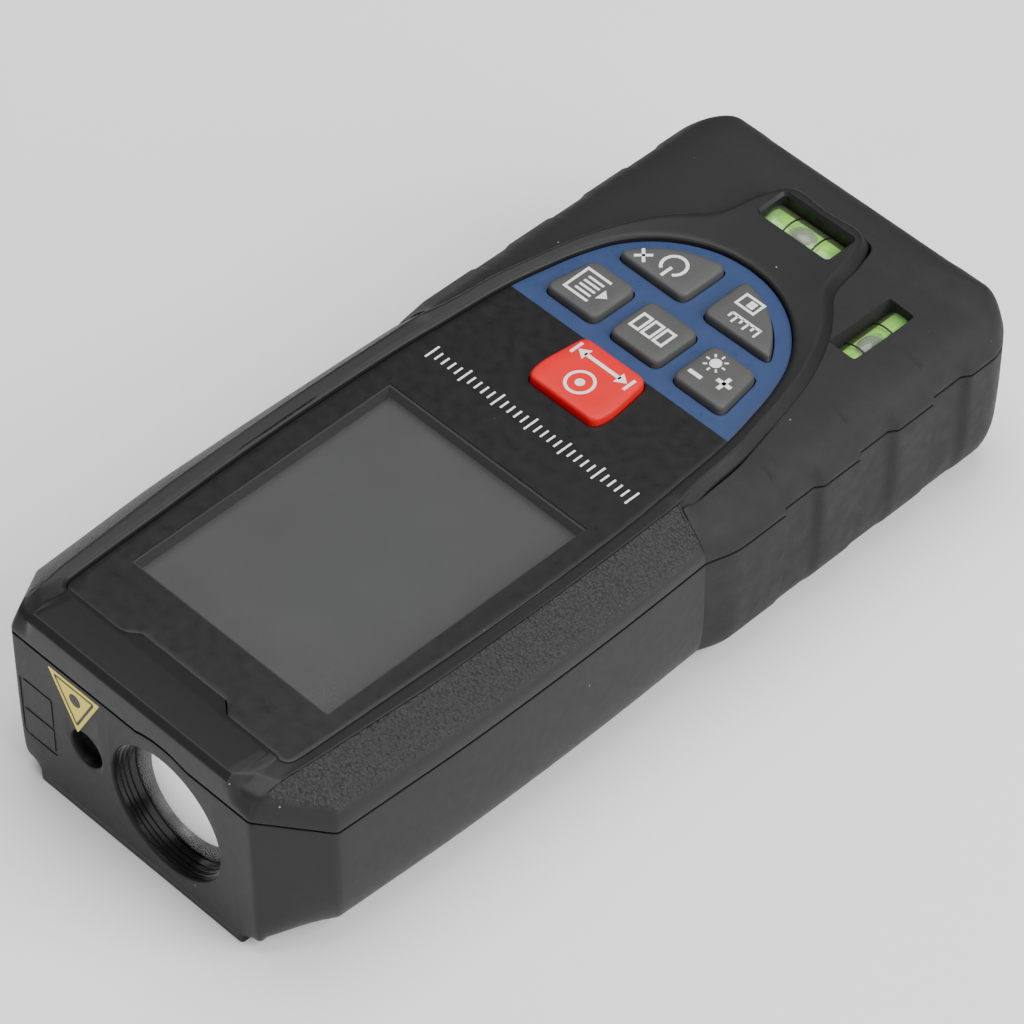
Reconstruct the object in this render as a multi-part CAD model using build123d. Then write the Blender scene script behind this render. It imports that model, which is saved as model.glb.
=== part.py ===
from build123d import *
import math
import os

# Laser distance meter. Millimetres. +Y is the way the beam leaves, +X is the user's right with the
# keys upright, +Z is up. The origin is under the middle of the instrument, on the table.

# ---- driving dimensions: housing ----
length = 118.0                  # rear datum face to front face
body_width = 51.3               # hard front section
grip_width = 53.7               # over the rubber pads
rim_z = 26.8                    # top of the border round the display
lip_height = 1.2                # front lip above the border
foot_height = 0.8               # feet under the case floor
front_flat = 39.9               # flat width of the front face
corner_chamfer = 7.7            # how far back the front corners are cut
wall = 2.2
front_wall = 2.6
floor_round = 6.0
front_split_drop = 3.75         # border down to the parting line across the front face
side_split_drop = 7.1           # border down to the parting line along the sides
shoulder_drop = 4.9             # sloping shoulder beside the display
shoulder_inset = 3.7
grip_start = 64.65              # front face to the rubber
grip_flare = 5.2
grip_corner = 5.0
grip_side = 3.25                # rubber thickness at the side pads
grip_rear = 2.4
grip_top = 1.8                  # rubber over the case roof
grip_top_drop = 1.3             # border down to the rubber
grip_round = 3.8
grip_foot_width = 6.0
rib_pitch = 12.5
rib_depth = 0.75
rib_gap = 5.4
rib_ramp = 1.1
rib_count = 3
first_rib = 12.1                # rubber front edge to the first groove

# ---- driving dimensions: display fascia and keys ----
fascia_front = 7.0              # front face to fascia
fascia_width = 39.3
fascia_corner_inset = 0.9       # each side, at the front corners
fascia_end_share = 0.835        # the round end against half the width
fascia_end_setback = 36.5       # rear datum face to the centre of the round end
fascia_thickness = 1.0
fascia_drop = 0.9               # fascia face below the border
fascia_gap = 0.15
fascia_shelf = 1.5
rim_width = 2.4
tab_width = 14.0
tab_depth = 1.6
window_margin = 3.35            # printed border at each side of the clear window
window_length = 40.0
window_front = 15.05            # front face to the clear window
lcd_margin = 1.6
lcd_thickness = 1.5
backlight_thickness = 1.9
key_rise = 1.2                  # key face above the fascia
key_travel = 0.8
key_gap = 0.2
key_flange = 0.7
key_flange_thickness = 0.9
key_corner = 1.1
key_spacing = 2.45
row_lead = 3.2                  # centre of the round end to the front edge of the row of three
row_length = 7.25
row_inset = 1.81                # round end to the outer edge of the row
function_width = 7.9
measure_lead = 14.9             # centre of the round end to the front edge of the measure key
measure_width = 12.0
measure_length = 9.2
plunger_radius = 1.6
dome_radius = 2.6
dome_height = 0.35

# ---- driving dimensions: optics ----
lens_x = -5.3
beam_z = 12.4
bore_radius = 9.0
hood_rim = 2.4                  # case wall round the bore
lens_rim = 1.1                  # black seat round the lens
lens_thickness = 3.4
lens_setback = 4.9
barrel_length = 12.0
barrel_clearance = 0.05
laser_x = 8.1
aperture_radius = 2.55
laser_radius = 4.0
laser_length = 26.0
optics_length = 24.0
optics_width = 28.5
sensor_size = 4.0
label_side = 8.85
label_offset = 1.25             # from the beam to the middle of the label
label_top_z = 22.2
label_depth = 0.1

# ---- driving dimensions: vials ----
vial_radius = 3.2
vial_wall = 0.5
vial_length = 13.4
vial_setback = 1.3              # glass below the opening
vial_window = 11.3
vial_window_width = 4.5
cross_vial_setback = 10.6       # rear datum face to the cross vial
long_vial_setback = 16.4
long_vial_inset = 10.45         # left pad to the long vial
shield_width = 13.8
shield_length = 3.0             # from the cross vial's window to the shield's rear edge

# ---- driving dimensions: power and electronics ----
cell_radius = 5.25
cell_length = 44.5
cell_gap = 0.6
cell_setback = 10.5             # rear datum face to the cells
spring_space = 2.6
contact_thickness = 0.4
tray_wall = 1.1
door_thickness = 2.0
door_gap = 0.2
hinge_radius = 1.0
hinge_pin_radius = 0.5
hinge_clearance = 0.05
board_thickness = 1.6
board_drop = 6.3                # border down to the board
board_inset = 6.65              # case side to the board
screw_radius = 0.95
screw_length = 17.0
screw_head_radius = 1.9
boss_radius = 2.9
front_screw_inset = 5.15        # case side to the front screws
front_screw_setback = 27.0
rear_screw_lag = 7.5            # rear screws behind the centre of the round end
buzzer_radius = 4.6
buzzer_inset = 6.0
buzzer_clearance = 1.5
fit = 0.1                       # gap between pieces that only locate each other

# ---- places worked out from the sizes ----
front_y = length / 2
rear_y = -length / 2
body_half = body_width / 2
grip_half = grip_width / 2
core_half = grip_half - grip_side
core_rear = rear_y + grip_rear
join_y = front_y - grip_start
front_split_z = rim_z - front_split_drop
side_split_z = rim_z - side_split_drop
grip_top_z = rim_z - grip_top_drop
chamfer_y = front_y - corner_chamfer
floor_z = foot_height
inner_floor_z = floor_z + wall
fascia_z = rim_z - fascia_drop
fascia_corner_width = fascia_width - 2 * fascia_corner_inset
fascia_end_radius = fascia_end_share * fascia_width / 2
fascia_end_y = rear_y + fascia_end_setback
window_width = fascia_width - 2 * window_margin
row_front = fascia_end_y + row_lead
row_outer = fascia_end_radius - row_inset
measure_front = fascia_end_y + measure_lead
shelf_z = fascia_z - fascia_thickness
ceiling_z = shelf_z - fascia_shelf
core_top_z = grip_top_z - grip_top
roof_z = core_top_z - 1.7
shoulder_z = rim_z - shoulder_drop
board_top_z = rim_z - board_drop
board_z = board_top_z - board_thickness
board_half_width = body_half - board_inset
key_top_z = fascia_z + key_rise
hood_radius = bore_radius + hood_rim
lens_radius = bore_radius - lens_rim
lens_y = front_y - lens_setback
barrel_rear = front_y - 0.8 - barrel_length
cross_vial_y = rear_y + cross_vial_setback
long_vial_y = rear_y + long_vial_setback
long_vial_x = long_vial_inset - grip_half
cell_rear_y = rear_y + cell_setback
cell_z = floor_z + door_thickness + 0.3 + cell_radius
cell_x = cell_radius + cell_gap / 2
cell_front_y = cell_rear_y + cell_length
tray_rear = cell_rear_y - contact_thickness
tray_front = cell_front_y + spring_space + contact_thickness
tray_half = 2 * cell_radius + cell_gap / 2 + 0.3
tray_top = cell_z + cell_radius + 0.3
hinge_y = tray_front - tray_wall
hinge_z = floor_z + hinge_radius + 0.1
door_half = tray_half - 0.4
door_rear = tray_rear + 0.4
front_screw = (body_half - front_screw_inset, front_y - front_screw_setback)
rear_screw = ((tray_half + tray_wall + core_half - wall) / 2, fascia_end_y - rear_screw_lag)


# ---- shape helpers ----
def block(x0, x1, y0, y1, z0, z1):
    """A box between two corners."""
    return Pos((x0 + x1) / 2, (y0 + y1) / 2, (z0 + z1) / 2) * Box(x1 - x0, y1 - y0, z1 - z0)


def plate(points):
    """A flat face with straight edges."""
    return make_face(Polyline(*points, close=True))


def prism(face, z0, z1, taper=0.0):
    """A face in plan, raised from one height to another."""
    return extrude(Pos(0, 0, z0) * face, amount=z1 - z0, dir=(0, 0, 1), taper=taper)


def both_sides(points):
    """A half outline on the +X side, closed by its mirror image."""
    return points + [(-x, y) for x, y in reversed(points)]


def rod_y(x, z, radius, y0, y1):
    """A cylinder along Y."""
    return Pos(x, (y0 + y1) / 2, z) * Rot(90, 0, 0) * Cylinder(radius, y1 - y0)


def rod_x(y, z, radius, x0, x1):
    """A cylinder along X."""
    return Pos((x0 + x1) / 2, y, z) * Rot(0, 90, 0) * Cylinder(radius, x1 - x0)


def rod_z(x, y, radius, z0, z1):
    """A cylinder along Z."""
    return Pos(x, y, (z0 + z1) / 2) * Cylinder(radius, z1 - z0)


def side_profile(points, half_width):
    """An outline drawn in Y and Z, as wide as the two half widths."""
    face = Plane.YZ * plate(points)
    return extrude(face, amount=half_width, both=True)


def edges_at(solid, z, y_above=None):
    """The edges that lie at one height, and in front of a place where one is given."""
    found = [e for e in solid.edges() if abs(e.bounding_box().min.Z - z) < 0.01
             and abs(e.bounding_box().max.Z - z) < 0.01]
    if y_above is not None:
        found = [e for e in found if e.bounding_box().max.Y > y_above]
    return found


def save(name, shape):
    """Write one piece, or one group of identical pieces."""
    export_step(shape, f"parts/{name}.step")


# ---- plans and outlines ----
def front_plan(run_on=0.0):
    """The hard front section, with its two cut corners, run on behind the rubber's edge if asked."""
    half = [(body_half, join_y - run_on), (body_half, chamfer_y), (front_flat / 2, front_y)]
    return plate(both_sides(half))


def core_plan():
    """The case where the rubber covers it."""
    half = [(core_half, core_rear), (core_half, join_y + fit)]
    return plate(both_sides(half))


def grip_plan():
    """The rubber's outline, flared out from the front section and round at the rear corners."""
    half = [(grip_half, rear_y), (grip_half, join_y - grip_flare), (body_half, join_y)]
    face = plate(both_sides(half))
    corners = [v for v in face.vertices() if v.Y < rear_y + 1]
    return fillet(corners, grip_corner)


def fascia_plan(grow=0.0):
    """Barrel sides, a flat front with a notch for the tab, and a round rear end."""
    end = math.radians(13)
    end_x = fascia_end_radius * math.cos(end)
    end_y = fascia_end_y - fascia_end_radius * math.sin(end)
    front = front_y - fascia_front
    side_x, mid_y = fascia_width / 2, fascia_end_y + 42
    neck = (side_x - 0.8, fascia_end_y + 16)
    right = [ThreePointArc((end_x, end_y), (side_x - 1.75, fascia_end_y + 6), neck),
             ThreePointArc(neck, (side_x, mid_y), (fascia_corner_width / 2, front - 1))]
    tab = [(fascia_corner_width / 2, front - 1), (fascia_corner_width / 2 - 1, front),
           (tab_width / 2 + 2, front), (tab_width / 2, front - tab_depth)]
    round_end = ThreePointArc((-end_x, end_y), (0, fascia_end_y - fascia_end_radius), (end_x, end_y))
    left = [mirror(arc, about=Plane.YZ) for arc in right]
    face = make_face([round_end, *right, *left, Polyline(*both_sides(tab))])
    return offset(face, amount=grow, kind=Kind.INTERSECTION) if grow else face


def shield_plan():
    """The raised border round the keys, drawn out to carry the cross vial."""
    ring = fascia_plan(rim_width) & Pos(0, join_y - 60) * Rectangle(body_width, 120 + 2 * fit)
    tail_y = cross_vial_y - vial_window_width / 2 - shield_length / 2
    half = [(shield_width / 2, tail_y), (shield_width / 2 + 1, tail_y + 4.4),
            (fascia_end_radius * 0.8, fascia_end_y - fascia_end_radius * 0.8), (4, fascia_end_y)]
    return (ring + plate(both_sides(half))).faces()[0]


key_names = ["key_measure", "key_function", "key_memory", "key_plus_minus", "key_clear", "key_unit"]
left_twin = {"key_plus_minus": "key_memory", "key_unit": "key_clear"}


def key_plan(name):
    """The outline of a key on the centre line or on the right: the left ones mirror these."""
    if name == "key_measure":
        points = both_sides([(measure_width / 2 - 0.9, measure_front - measure_length),
                             (measure_width / 2, measure_front - measure_length * 0.28),
                             (measure_width / 2 - 0.6, measure_front)])
    elif name == "key_function":
        points = both_sides([(function_width / 2, row_front - row_length), (function_width / 2, row_front)])
    elif name == "key_memory":
        inner, outer = function_width / 2 + key_spacing, row_outer
        points = [(inner, row_front), (outer, row_front), (outer - 1.2, row_front - row_length),
                  (inner, row_front - row_length)]
    else:
        inner, front = key_spacing * 0.63, row_front - row_length - key_spacing
        quarter = plate([(inner, front), (body_half, front), (body_half, rear_y), (inner, rear_y)])
        disc = Pos(0, fascia_end_y) * Circle(fascia_end_radius - 2.2)
        return rounded((disc & quarter).faces()[0])
    return rounded(plate(points))


def rounded(face):
    """The same face with its corners rounded."""
    return fillet(face.vertices(), key_corner)


def key_prism(name, z0, z1, grow=0.0):
    """A key's outline, grown by a gap or a flange, between two heights."""
    face = key_plan(left_twin.get(name, name))
    solid = prism(offset(face, amount=grow) if grow else face, z0, z1)
    return mirror(solid, about=Plane.YZ) if name in left_twin else solid


def key_centre(name):
    """Where the plunger stands under a key."""
    centre = key_plan(left_twin.get(name, name)).center()
    return (-centre.X if name in left_twin else centre.X), centre.Y


def below_split():
    """Everything under the parting surface, which climbs over the cut corners and the lens."""
    reach = length
    profile = [(-reach, -reach), (reach, -reach), (reach, front_split_z), (front_y, front_split_z),
               (chamfer_y, side_split_z), (-reach, side_split_z)]
    hood = rod_y(lens_x, beam_z, hood_radius, front_y - front_wall, front_y + 1)
    return side_profile(profile, body_width) + hood


def above_split():
    """Everything over the parting surface."""
    return block(-body_width, body_width, -length, length, -1, 2 * rim_z) - below_split()


# ---- screws and their bosses ----
def screw_places():
    return [(side * x, y) for x, y in (front_screw, rear_screw) for side in (1, -1)]


screw_head_z = inner_floor_z + 0.9
boss_split_z = screw_head_z + 9.0


# ---- housing ----
def make_lower_case():
    front = prism(front_plan(), floor_z, front_split_z + 2)
    front = fillet(edges_at(front, floor_z, join_y + 1), floor_round)
    core = prism(core_plan(), floor_z, side_split_z)
    core = chamfer([e for e in edges_at(core, floor_z) if e.center().Y < join_y], floor_round - 1)
    foot = block(-tray_half - 4, tray_half + 4, front_y - 14, front_y, 0, floor_round + 2)
    form = (front + core + foot) & below_split()
    inner = offset(front_plan(), amount=-wall, kind=Kind.INTERSECTION)
    room = prism(inner, inner_floor_z, 2 * rim_z)
    sides = [e for e in edges_at(room, inner_floor_z) if e.center().Y > join_y + wall + 0.5]
    room = chamfer(sides, floor_round - wall - 0.3)
    room &= block(-body_half, body_half, -length, front_y - front_wall, 0, 3 * rim_z)
    rear_room = block(-core_half + wall, core_half - wall, core_rear + wall, join_y + wall + 1,
                      inner_floor_z, 2 * rim_z)
    rear_room = chamfer([e for e in edges_at(rear_room, inner_floor_z) if e.center().Y < join_y],
                        floor_round - wall - 0.3)
    shell = form - (room + rear_room)
    for x, y in screw_places():
        shell += rod_z(x, y, boss_radius, inner_floor_z - 0.5, boss_split_z) & form
        shell -= rod_z(x, y, screw_radius + 0.3, 0, boss_split_z + 1)
        shell -= rod_z(x, y, screw_head_radius + 0.3, -1, screw_head_z)
    shell -= rod_y(lens_x, beam_z, bore_radius, barrel_rear, front_y + 1)
    shell -= Pos(lens_x, front_y - 0.4, beam_z) * Rot(-90, 0, 0) * Cone(bore_radius, bore_radius + 0.8, 0.8)
    shell -= rod_y(laser_x, beam_z, aperture_radius, front_y - front_wall - 1, front_y + 1)
    shell -= Pos(laser_x, front_y - 0.3, beam_z) * Rot(-90, 0, 0) * Cone(
        aperture_radius, aperture_radius + 0.6, 0.6)
    shell -= make_warning_label()
    shell -= block(-door_half - door_gap, door_half + door_gap, door_rear - door_gap,
                   hinge_y + hinge_radius + door_gap, -1, inner_floor_z + 1)
    for side in (-1, 1):
        ear = block(door_half - 3, door_half + 0.3, hinge_y, hinge_y + 2, floor_z, inner_floor_z)
        ear += rod_x(hinge_y, hinge_z, hinge_z - floor_z, door_half - 3, door_half + 0.3)
        hole = rod_x(hinge_y, hinge_z, hinge_pin_radius, door_half - 4, door_half + 4)
        ear = ear if side > 0 else mirror(ear, about=Plane.YZ)
        hole = hole if side > 0 else mirror(hole, about=Plane.YZ)
        shell = shell + ear - hole
    return shell


def make_upper_case():
    front = prism(front_plan(), side_split_z - 1, shoulder_z)
    slope = math.degrees(math.atan2(shoulder_inset, shoulder_drop))
    sloped = prism(front_plan(2 * shoulder_inset), shoulder_z, rim_z, taper=slope)
    front += sloped & block(-body_half, body_half, join_y, front_y, 0, rim_z)
    lip_half = front_flat / 2 - 3.4
    lip = [(front_y, shoulder_z), (front_y, rim_z + lip_height - 0.8),
           (front_y - 0.8, rim_z + lip_height), (front_y - fascia_front, rim_z),
           (front_y - fascia_front, shoulder_z)]
    front += side_profile(lip, lip_half)
    core = prism(core_plan(), side_split_z - 1, core_top_z)
    core += prism(shield_plan(), core_top_z - 1, rim_z)
    shell = (front + core + block(-body_half + wall, body_half - wall, join_y - 1, join_y + wall,
                                  side_split_z, core_top_z)) & above_split()
    room = prism(offset(front_plan(), amount=-shoulder_inset - 0.8, kind=Kind.INTERSECTION), 0, ceiling_z)
    room += block(-core_half + wall, core_half - wall, core_rear + wall, join_y + 6, 0, roof_z)
    room += prism(fascia_plan(-2.0), 0, ceiling_z)
    shell -= room
    for side in (0, 1):
        shell += vial_cradle(side, 0) & core_room()
        shell -= vial_pocket(side)
    shell -= prism(fascia_plan(fascia_gap), shelf_z, fascia_z)
    shell -= prism(fascia_plan(fascia_gap), fascia_z, rim_z + 4, taper=-35)
    shell -= block(-lcd_half_width(), lcd_half_width(), lcd_rear(), lcd_front(), 0, shelf_z + 1)
    for name in key_names:
        shell -= key_prism(name, 0, rim_z, key_gap)
        shell -= key_prism(name, 0, ceiling_z, key_flange + key_gap)
    for x, y in screw_places():
        shell += rod_z(x, y, boss_radius, boss_split_z + fit, roof_z + 0.5)
        shell -= rod_z(x, y, screw_radius + 0.05, 0, screw_head_z + screw_length + 0.5)
    shell -= rod_y(lens_x, beam_z, hood_radius + fit, 0, front_y - front_wall)
    return shell


def core_room():
    """The space inside the case under the rubber, with its roof."""
    return block(-core_half + 1, core_half - 1, core_rear + 1, front_y, 0, rim_z)


def grip_grooves(z0, z1):
    """Upright grooves down both sides: a sharp front wall, a flat floor and a ramp out."""
    cuts = []
    for i in range(rib_count):
        y = join_y - first_rib - i * rib_pitch
        out = grip_half + 1
        floor_x = grip_half - rib_depth
        face = plate([(floor_x, y), (out, y), (out, y - rib_gap - rib_ramp),
                      (grip_half, y - rib_gap - rib_ramp), (floor_x, y - rib_gap)])
        cuts += [prism(face, z0, z1), prism(mirror(face, about=Plane.YZ), z0, z1)]
    return cuts


def make_grip_lower():
    skin = prism(grip_plan(), 0, side_split_z)
    skin = fillet([e for e in edges_at(skin, 0) if e.center().Y < join_y - 0.1], floor_round)
    core = prism(core_plan(), floor_z, side_split_z)
    core = chamfer([e for e in edges_at(core, floor_z) if e.center().Y < join_y], floor_round - 1)
    window = block(-core_half + grip_foot_width - 2, core_half - grip_foot_width + 2,
                   core_rear + grip_foot_width - 2, join_y + 1, -1, floor_z)
    skin -= core + window
    for cut in grip_grooves(-1, side_split_z + 1):
        skin -= cut
    return skin


def make_grip_upper():
    skin = prism(grip_plan(), side_split_z, grip_top_z)
    skin = fillet([e for e in edges_at(skin, grip_top_z) if e.center().Y < join_y - 0.1], grip_round)
    skin -= prism(core_plan(), side_split_z, core_top_z)
    skin -= prism(shield_plan(), core_top_z - 1, rim_z)
    window = Pos(long_vial_x, long_vial_y) * Rectangle(vial_window_width - 0.4, vial_window - 1.1)
    skin -= prism(window, core_top_z - 1, rim_z)
    for cut in grip_grooves(side_split_z - 1, rim_z):
        skin -= cut
    return skin


# ---- fascia, display and keys ----
def lcd_half_width():
    return window_width / 2 + lcd_margin - 0.6


def lcd_front():
    return front_y - window_front + lcd_margin


def lcd_rear():
    return front_y - window_front - window_length - lcd_margin


def make_fascia():
    cover = prism(fascia_plan(), shelf_z, fascia_z)
    for name in key_names:
        cover -= key_prism(name, 0, rim_z, key_gap)
    return cover


def make_lcd(layer):
    """The display stack on the board: a backlight, the glass, and a light frame round both."""
    half, front, rear = lcd_half_width() - 0.8, lcd_front() - 0.8, lcd_rear() + 0.8
    glass_z = board_top_z + backlight_thickness
    if layer == "backlight":
        return block(-half, half, rear, front, board_top_z, glass_z)
    if layer == "glass":
        return block(-half, half, rear, front, glass_z, glass_z + lcd_thickness)
    outer = block(-half - 0.7, half + 0.7, rear - 0.7, front + 0.7, board_top_z, glass_z + lcd_thickness)
    return outer - block(-half, half, rear, front, 0, rim_z)


def make_key(name):
    """A cap through the fascia, a flange that holds it in, and a plunger over its switch."""
    flange_top = ceiling_z - fit
    x, y = key_centre(name)
    cap = key_prism(name, flange_top - 0.2, key_top_z)
    cap = fillet(edges_at(cap, key_top_z), 0.45)
    flange = key_prism(name, flange_top - key_flange_thickness, flange_top, key_flange)
    plunger_z = board_top_z + dome_height + key_travel + 0.05
    return cap + flange + rod_z(x, y, plunger_radius, plunger_z, flange_top)


def make_keypad_mat():
    """The rubber sheet that seals the switches, with a hole for each plunger."""
    mat = prism(fascia_plan(-2.6), board_top_z, board_top_z + 0.7)
    mat &= block(-board_half_width + 1, board_half_width - 1, rear_y, lcd_rear() - 0.5, 0, rim_z)
    for name in key_names:
        x, y = key_centre(name)
        mat -= rod_z(x, y, dome_radius + 0.2, 0, rim_z)
    return mat


def make_domes():
    """One snap dome under each key."""
    rise = dome_height
    sphere_r = (dome_radius ** 2 + rise ** 2) / (2 * rise)
    domes = []
    for name in key_names:
        x, y = key_centre(name)
        ball = Pos(x, y, board_top_z + rise - sphere_r) * Sphere(sphere_r)
        domes.append(ball & rod_z(x, y, dome_radius, board_top_z, board_top_z + 1))
    return Compound(children=domes)


# ---- electronics ----
def board_rear_y():
    return fascia_end_y - fascia_end_radius + 3.5


def make_main_board():
    board = block(-board_half_width, board_half_width, board_rear_y(), barrel_rear - 0.6,
                  board_z, board_top_z)
    for x, y in screw_places():
        board -= rod_z(x, y, boss_radius + 0.4, 0, rim_z)
    return board - vial_cradle(1, 2 * fit)


def make_board_chips():
    """The processor, the timing chip and two power parts under the board."""
    places = [(0, 6, 7), (-11, 2, 5), (11, -4, 4), (9, 12, 4)]
    return Compound(children=[block(x - s / 2, x + s / 2, y - s / 2, y + s / 2, board_z - 1.2, board_z)
                              for x, y, s in places])


def make_buzzer():
    bottom = tray_top + tray_wall + buzzer_clearance
    return rod_z(buzzer_inset - board_half_width, measure_front - 4.4, buzzer_radius, bottom, board_z)


# ---- optics ----
def make_optics_block():
    """The rigid frame that keeps the lens and the laser in line."""
    x0 = lens_x - bore_radius - 1.2
    y0, y1 = barrel_rear - optics_length, barrel_rear
    frame = block(x0, x0 + optics_width, y0, y1, inner_floor_z + fit, board_z - 0.6)
    taper = Pos(lens_x, (y0 + 2 + y1) / 2, beam_z) * Rot(-90, 0, 0) * Cone(
        sensor_size / 2 + 0.5, lens_radius - 2.4, optics_length - 2)
    frame -= taper
    frame -= block(lens_x - sensor_size / 2 - 0.1, lens_x + sensor_size / 2 + 0.1, y0 - 1, y0 + 2.1,
                   beam_z - sensor_size / 2 - 0.1, beam_z + sensor_size / 2 + 0.1)
    return frame - rod_y(laser_x, beam_z, laser_radius + barrel_clearance, y0 - 1, y1 + 1)


def make_lens_barrel():
    """A stepped black tube between the front bore and the optics block."""
    outer = rod_y(lens_x, beam_z, bore_radius - barrel_clearance, barrel_rear, front_y - 0.8)
    bore = rod_y(lens_x, beam_z, lens_radius - 0.7, barrel_rear - 1, front_y)
    seat = rod_y(lens_x, beam_z, lens_radius + barrel_clearance, lens_y - lens_thickness / 2, front_y)
    return outer - bore - seat


def make_receiver_lens():
    """A lens with one round face and one flat face."""
    half = lens_thickness / 2
    sphere_r = 19.0
    disc = rod_y(lens_x, beam_z, lens_radius, lens_y - half, lens_y + half)
    ball = Pos(lens_x, lens_y + half - sphere_r, beam_z) * Sphere(sphere_r)
    return disc & ball


def make_lens_ring():
    """The retaining ring in front of the lens."""
    y0 = lens_y + lens_thickness / 2
    ring = rod_y(lens_x, beam_z, lens_radius, y0, y0 + 1.4)
    return ring - rod_y(lens_x, beam_z, lens_radius - 0.7, y0 - 1, y0 + 2)


def make_laser_module():
    """A brass barrel with a narrow nose behind the front wall."""
    y1 = front_y - front_wall - 0.4
    body = rod_y(laser_x, beam_z, laser_radius, y1 - laser_length, y1 - 6)
    nose = rod_y(laser_x, beam_z, aperture_radius + 0.4, y1 - 6, y1)
    return body + nose - rod_y(laser_x, beam_z, 1.4, y1 - 5, y1 + 1)


def make_laser_window():
    y = front_y - 1.4
    return rod_y(laser_x, beam_z, aperture_radius - 0.02, y - 0.8, y)


def make_sensor_board():
    y0 = barrel_rear - optics_length
    x0 = lens_x - bore_radius - 1.2
    board = block(x0, x0 + optics_width, y0 - 1.6, y0, inner_floor_z + 1, board_z - 0.8)
    return board - rod_y(laser_x, beam_z, laser_radius + 0.3, y0 - 3, y0 + 1)


def make_photodiode():
    y0 = barrel_rear - optics_length
    half = sensor_size / 2
    return block(lens_x - half, lens_x + half, y0, y0 + 1.6, beam_z - half, beam_z + half)


def make_warning_label():
    """A plain triangle, point down, flush in the front face between the aperture and the split."""
    x = laser_x + label_offset
    points = [(x - label_side / 2, label_top_z), (x + label_side / 2, label_top_z),
              (x, label_top_z - label_side * 0.9)]
    return extrude(Plane(origin=(0, front_y, 0), x_dir=(1, 0, 0), z_dir=(0, -1, 0)) * plate(points),
                   amount=label_depth, dir=(0, -1, 0))


# ---- vials ----
def vial_axis_z(side):
    """Height of a vial's axis: the cross vial is 0 and the long one is 1."""
    return rim_z - vial_setback - vial_radius if side == 0 else core_top_z - fit - vial_radius


def at_vial(side, shape):
    """Put a shape drawn along X at the origin where a vial lies."""
    place = (0, cross_vial_y) if side == 0 else (long_vial_x, long_vial_y)
    return Pos(*place) * Rot(0, 0, 90 * side) * shape


def vial_cradle(side, gap):
    """The block under the roof that holds a vial's sides and ends."""
    return at_vial(side, block(-vial_length / 2 - 1.5 - gap, vial_length / 2 + 1.5 + gap,
                               -vial_radius - 1.5 - gap, vial_radius + 1.5 + gap,
                               vial_axis_z(side) - 0.5 - gap, roof_z + 0.5))


def vial_pocket(side):
    """The opening over a vial, and the space that it lies in, open from below."""
    z = vial_axis_z(side)
    width = vial_window_width if side == 0 else vial_window_width - 0.4
    reach = vial_window if side == 0 else vial_window - 1.1
    pocket = block(-reach / 2, reach / 2, -width / 2, width / 2, z, rim_z + 5)
    pocket += rod_x(0, z, vial_radius + 0.05, -vial_length / 2 - 0.05, vial_length / 2 + 0.05)
    pocket += block(-vial_length / 2 - 0.05, vial_length / 2 + 0.05, -vial_radius - 0.05,
                    vial_radius + 0.05, 0, z)
    return at_vial(side, pocket)


def make_vial(side, piece):
    """A clear tube with closed ends, or the liquid in it with a bubble at its top."""
    z = vial_axis_z(side)
    half = vial_length / 2
    inner = vial_radius - vial_wall
    tube = rod_x(0, z, vial_radius, -half, half)
    liquid = rod_x(0, z, inner, -half + 1, half - 1)
    if piece == "tube":
        shape = tube - liquid
    else:
        bubble = Pos(0.4, 0, z + inner) * scale(Sphere(1.5), by=(1.35, 1.0, 0.8))
        shape = liquid - bubble
    return at_vial(side, shape)


# ---- power ----
def make_battery_tray():
    """The walls and roof round the two cells."""
    outer = block(-tray_half - tray_wall, tray_half + tray_wall, tray_rear - tray_wall,
                  tray_front + tray_wall, inner_floor_z + fit, tray_top + tray_wall)
    return outer - block(-tray_half, tray_half, tray_rear, tray_front, 0, tray_top)


def make_cells():
    """Two size AAA cells, each with its raised end."""
    cells = []
    for side in (-1, 1):
        can = rod_y(side * cell_x, cell_z, cell_radius, cell_rear_y + (0 if side > 0 else 1),
                    cell_front_y - (1 if side > 0 else 0))
        tip_y = cell_front_y - 1 if side > 0 else cell_rear_y
        cells.append(can + rod_y(side * cell_x, cell_z, 1.9, tip_y, tip_y + 1))
    return Compound(children=cells)


def make_contact_plates():
    """A plate across each end of the tray."""
    half = tray_half - 0.2
    low, high = cell_z - 4, cell_z + 4
    rear = block(-half, half, tray_rear, tray_rear + contact_thickness, low, high)
    front = [block(side * cell_x - 4.2, side * cell_x + 4.2, tray_front - contact_thickness, tray_front,
                   low, high) for side in (-1, 1)]
    return Compound(children=[rear, *front])


def make_contact_springs():
    """Cone springs on the front plates, each drawn as its closed outer form."""
    cones = []
    for side in (-1, 1):
        place = Pos(side * cell_x, cell_front_y + spring_space / 2, cell_z) * Rot(-90, 0, 0)
        cones.append(place * Cone(1.6, 3.4, spring_space) - place * Cone(1.0, 2.8, spring_space))
    return Compound(children=cones)


def make_battery_door():
    """A cover hinged at its front edge, with a finger notch at its rear edge."""
    panel = block(-door_half, door_half, door_rear, hinge_y, floor_z, floor_z + door_thickness)
    barrel = rod_x(hinge_y, hinge_z, hinge_radius, -door_half, door_half)
    panel += barrel
    for side in (-1, 1):
        x0, x1 = sorted((side * (door_half - 3 - door_gap), side * (door_half + 1)))
        panel -= block(x0, x1, hinge_y - 1.1 - door_gap, hinge_y + 2, 0, inner_floor_z + 1)
    panel -= rod_x(hinge_y, hinge_z, hinge_pin_radius + hinge_clearance, -door_half - 1, door_half + 1)
    notch = Pos(0, door_rear + 3.5, floor_z - 1.2) * Rot(0, 90, 0) * Cylinder(2.2, 12)
    return panel - notch


def make_door_pin():
    return rod_x(hinge_y, hinge_z, hinge_pin_radius, -door_half - 3, door_half + 3)


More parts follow.
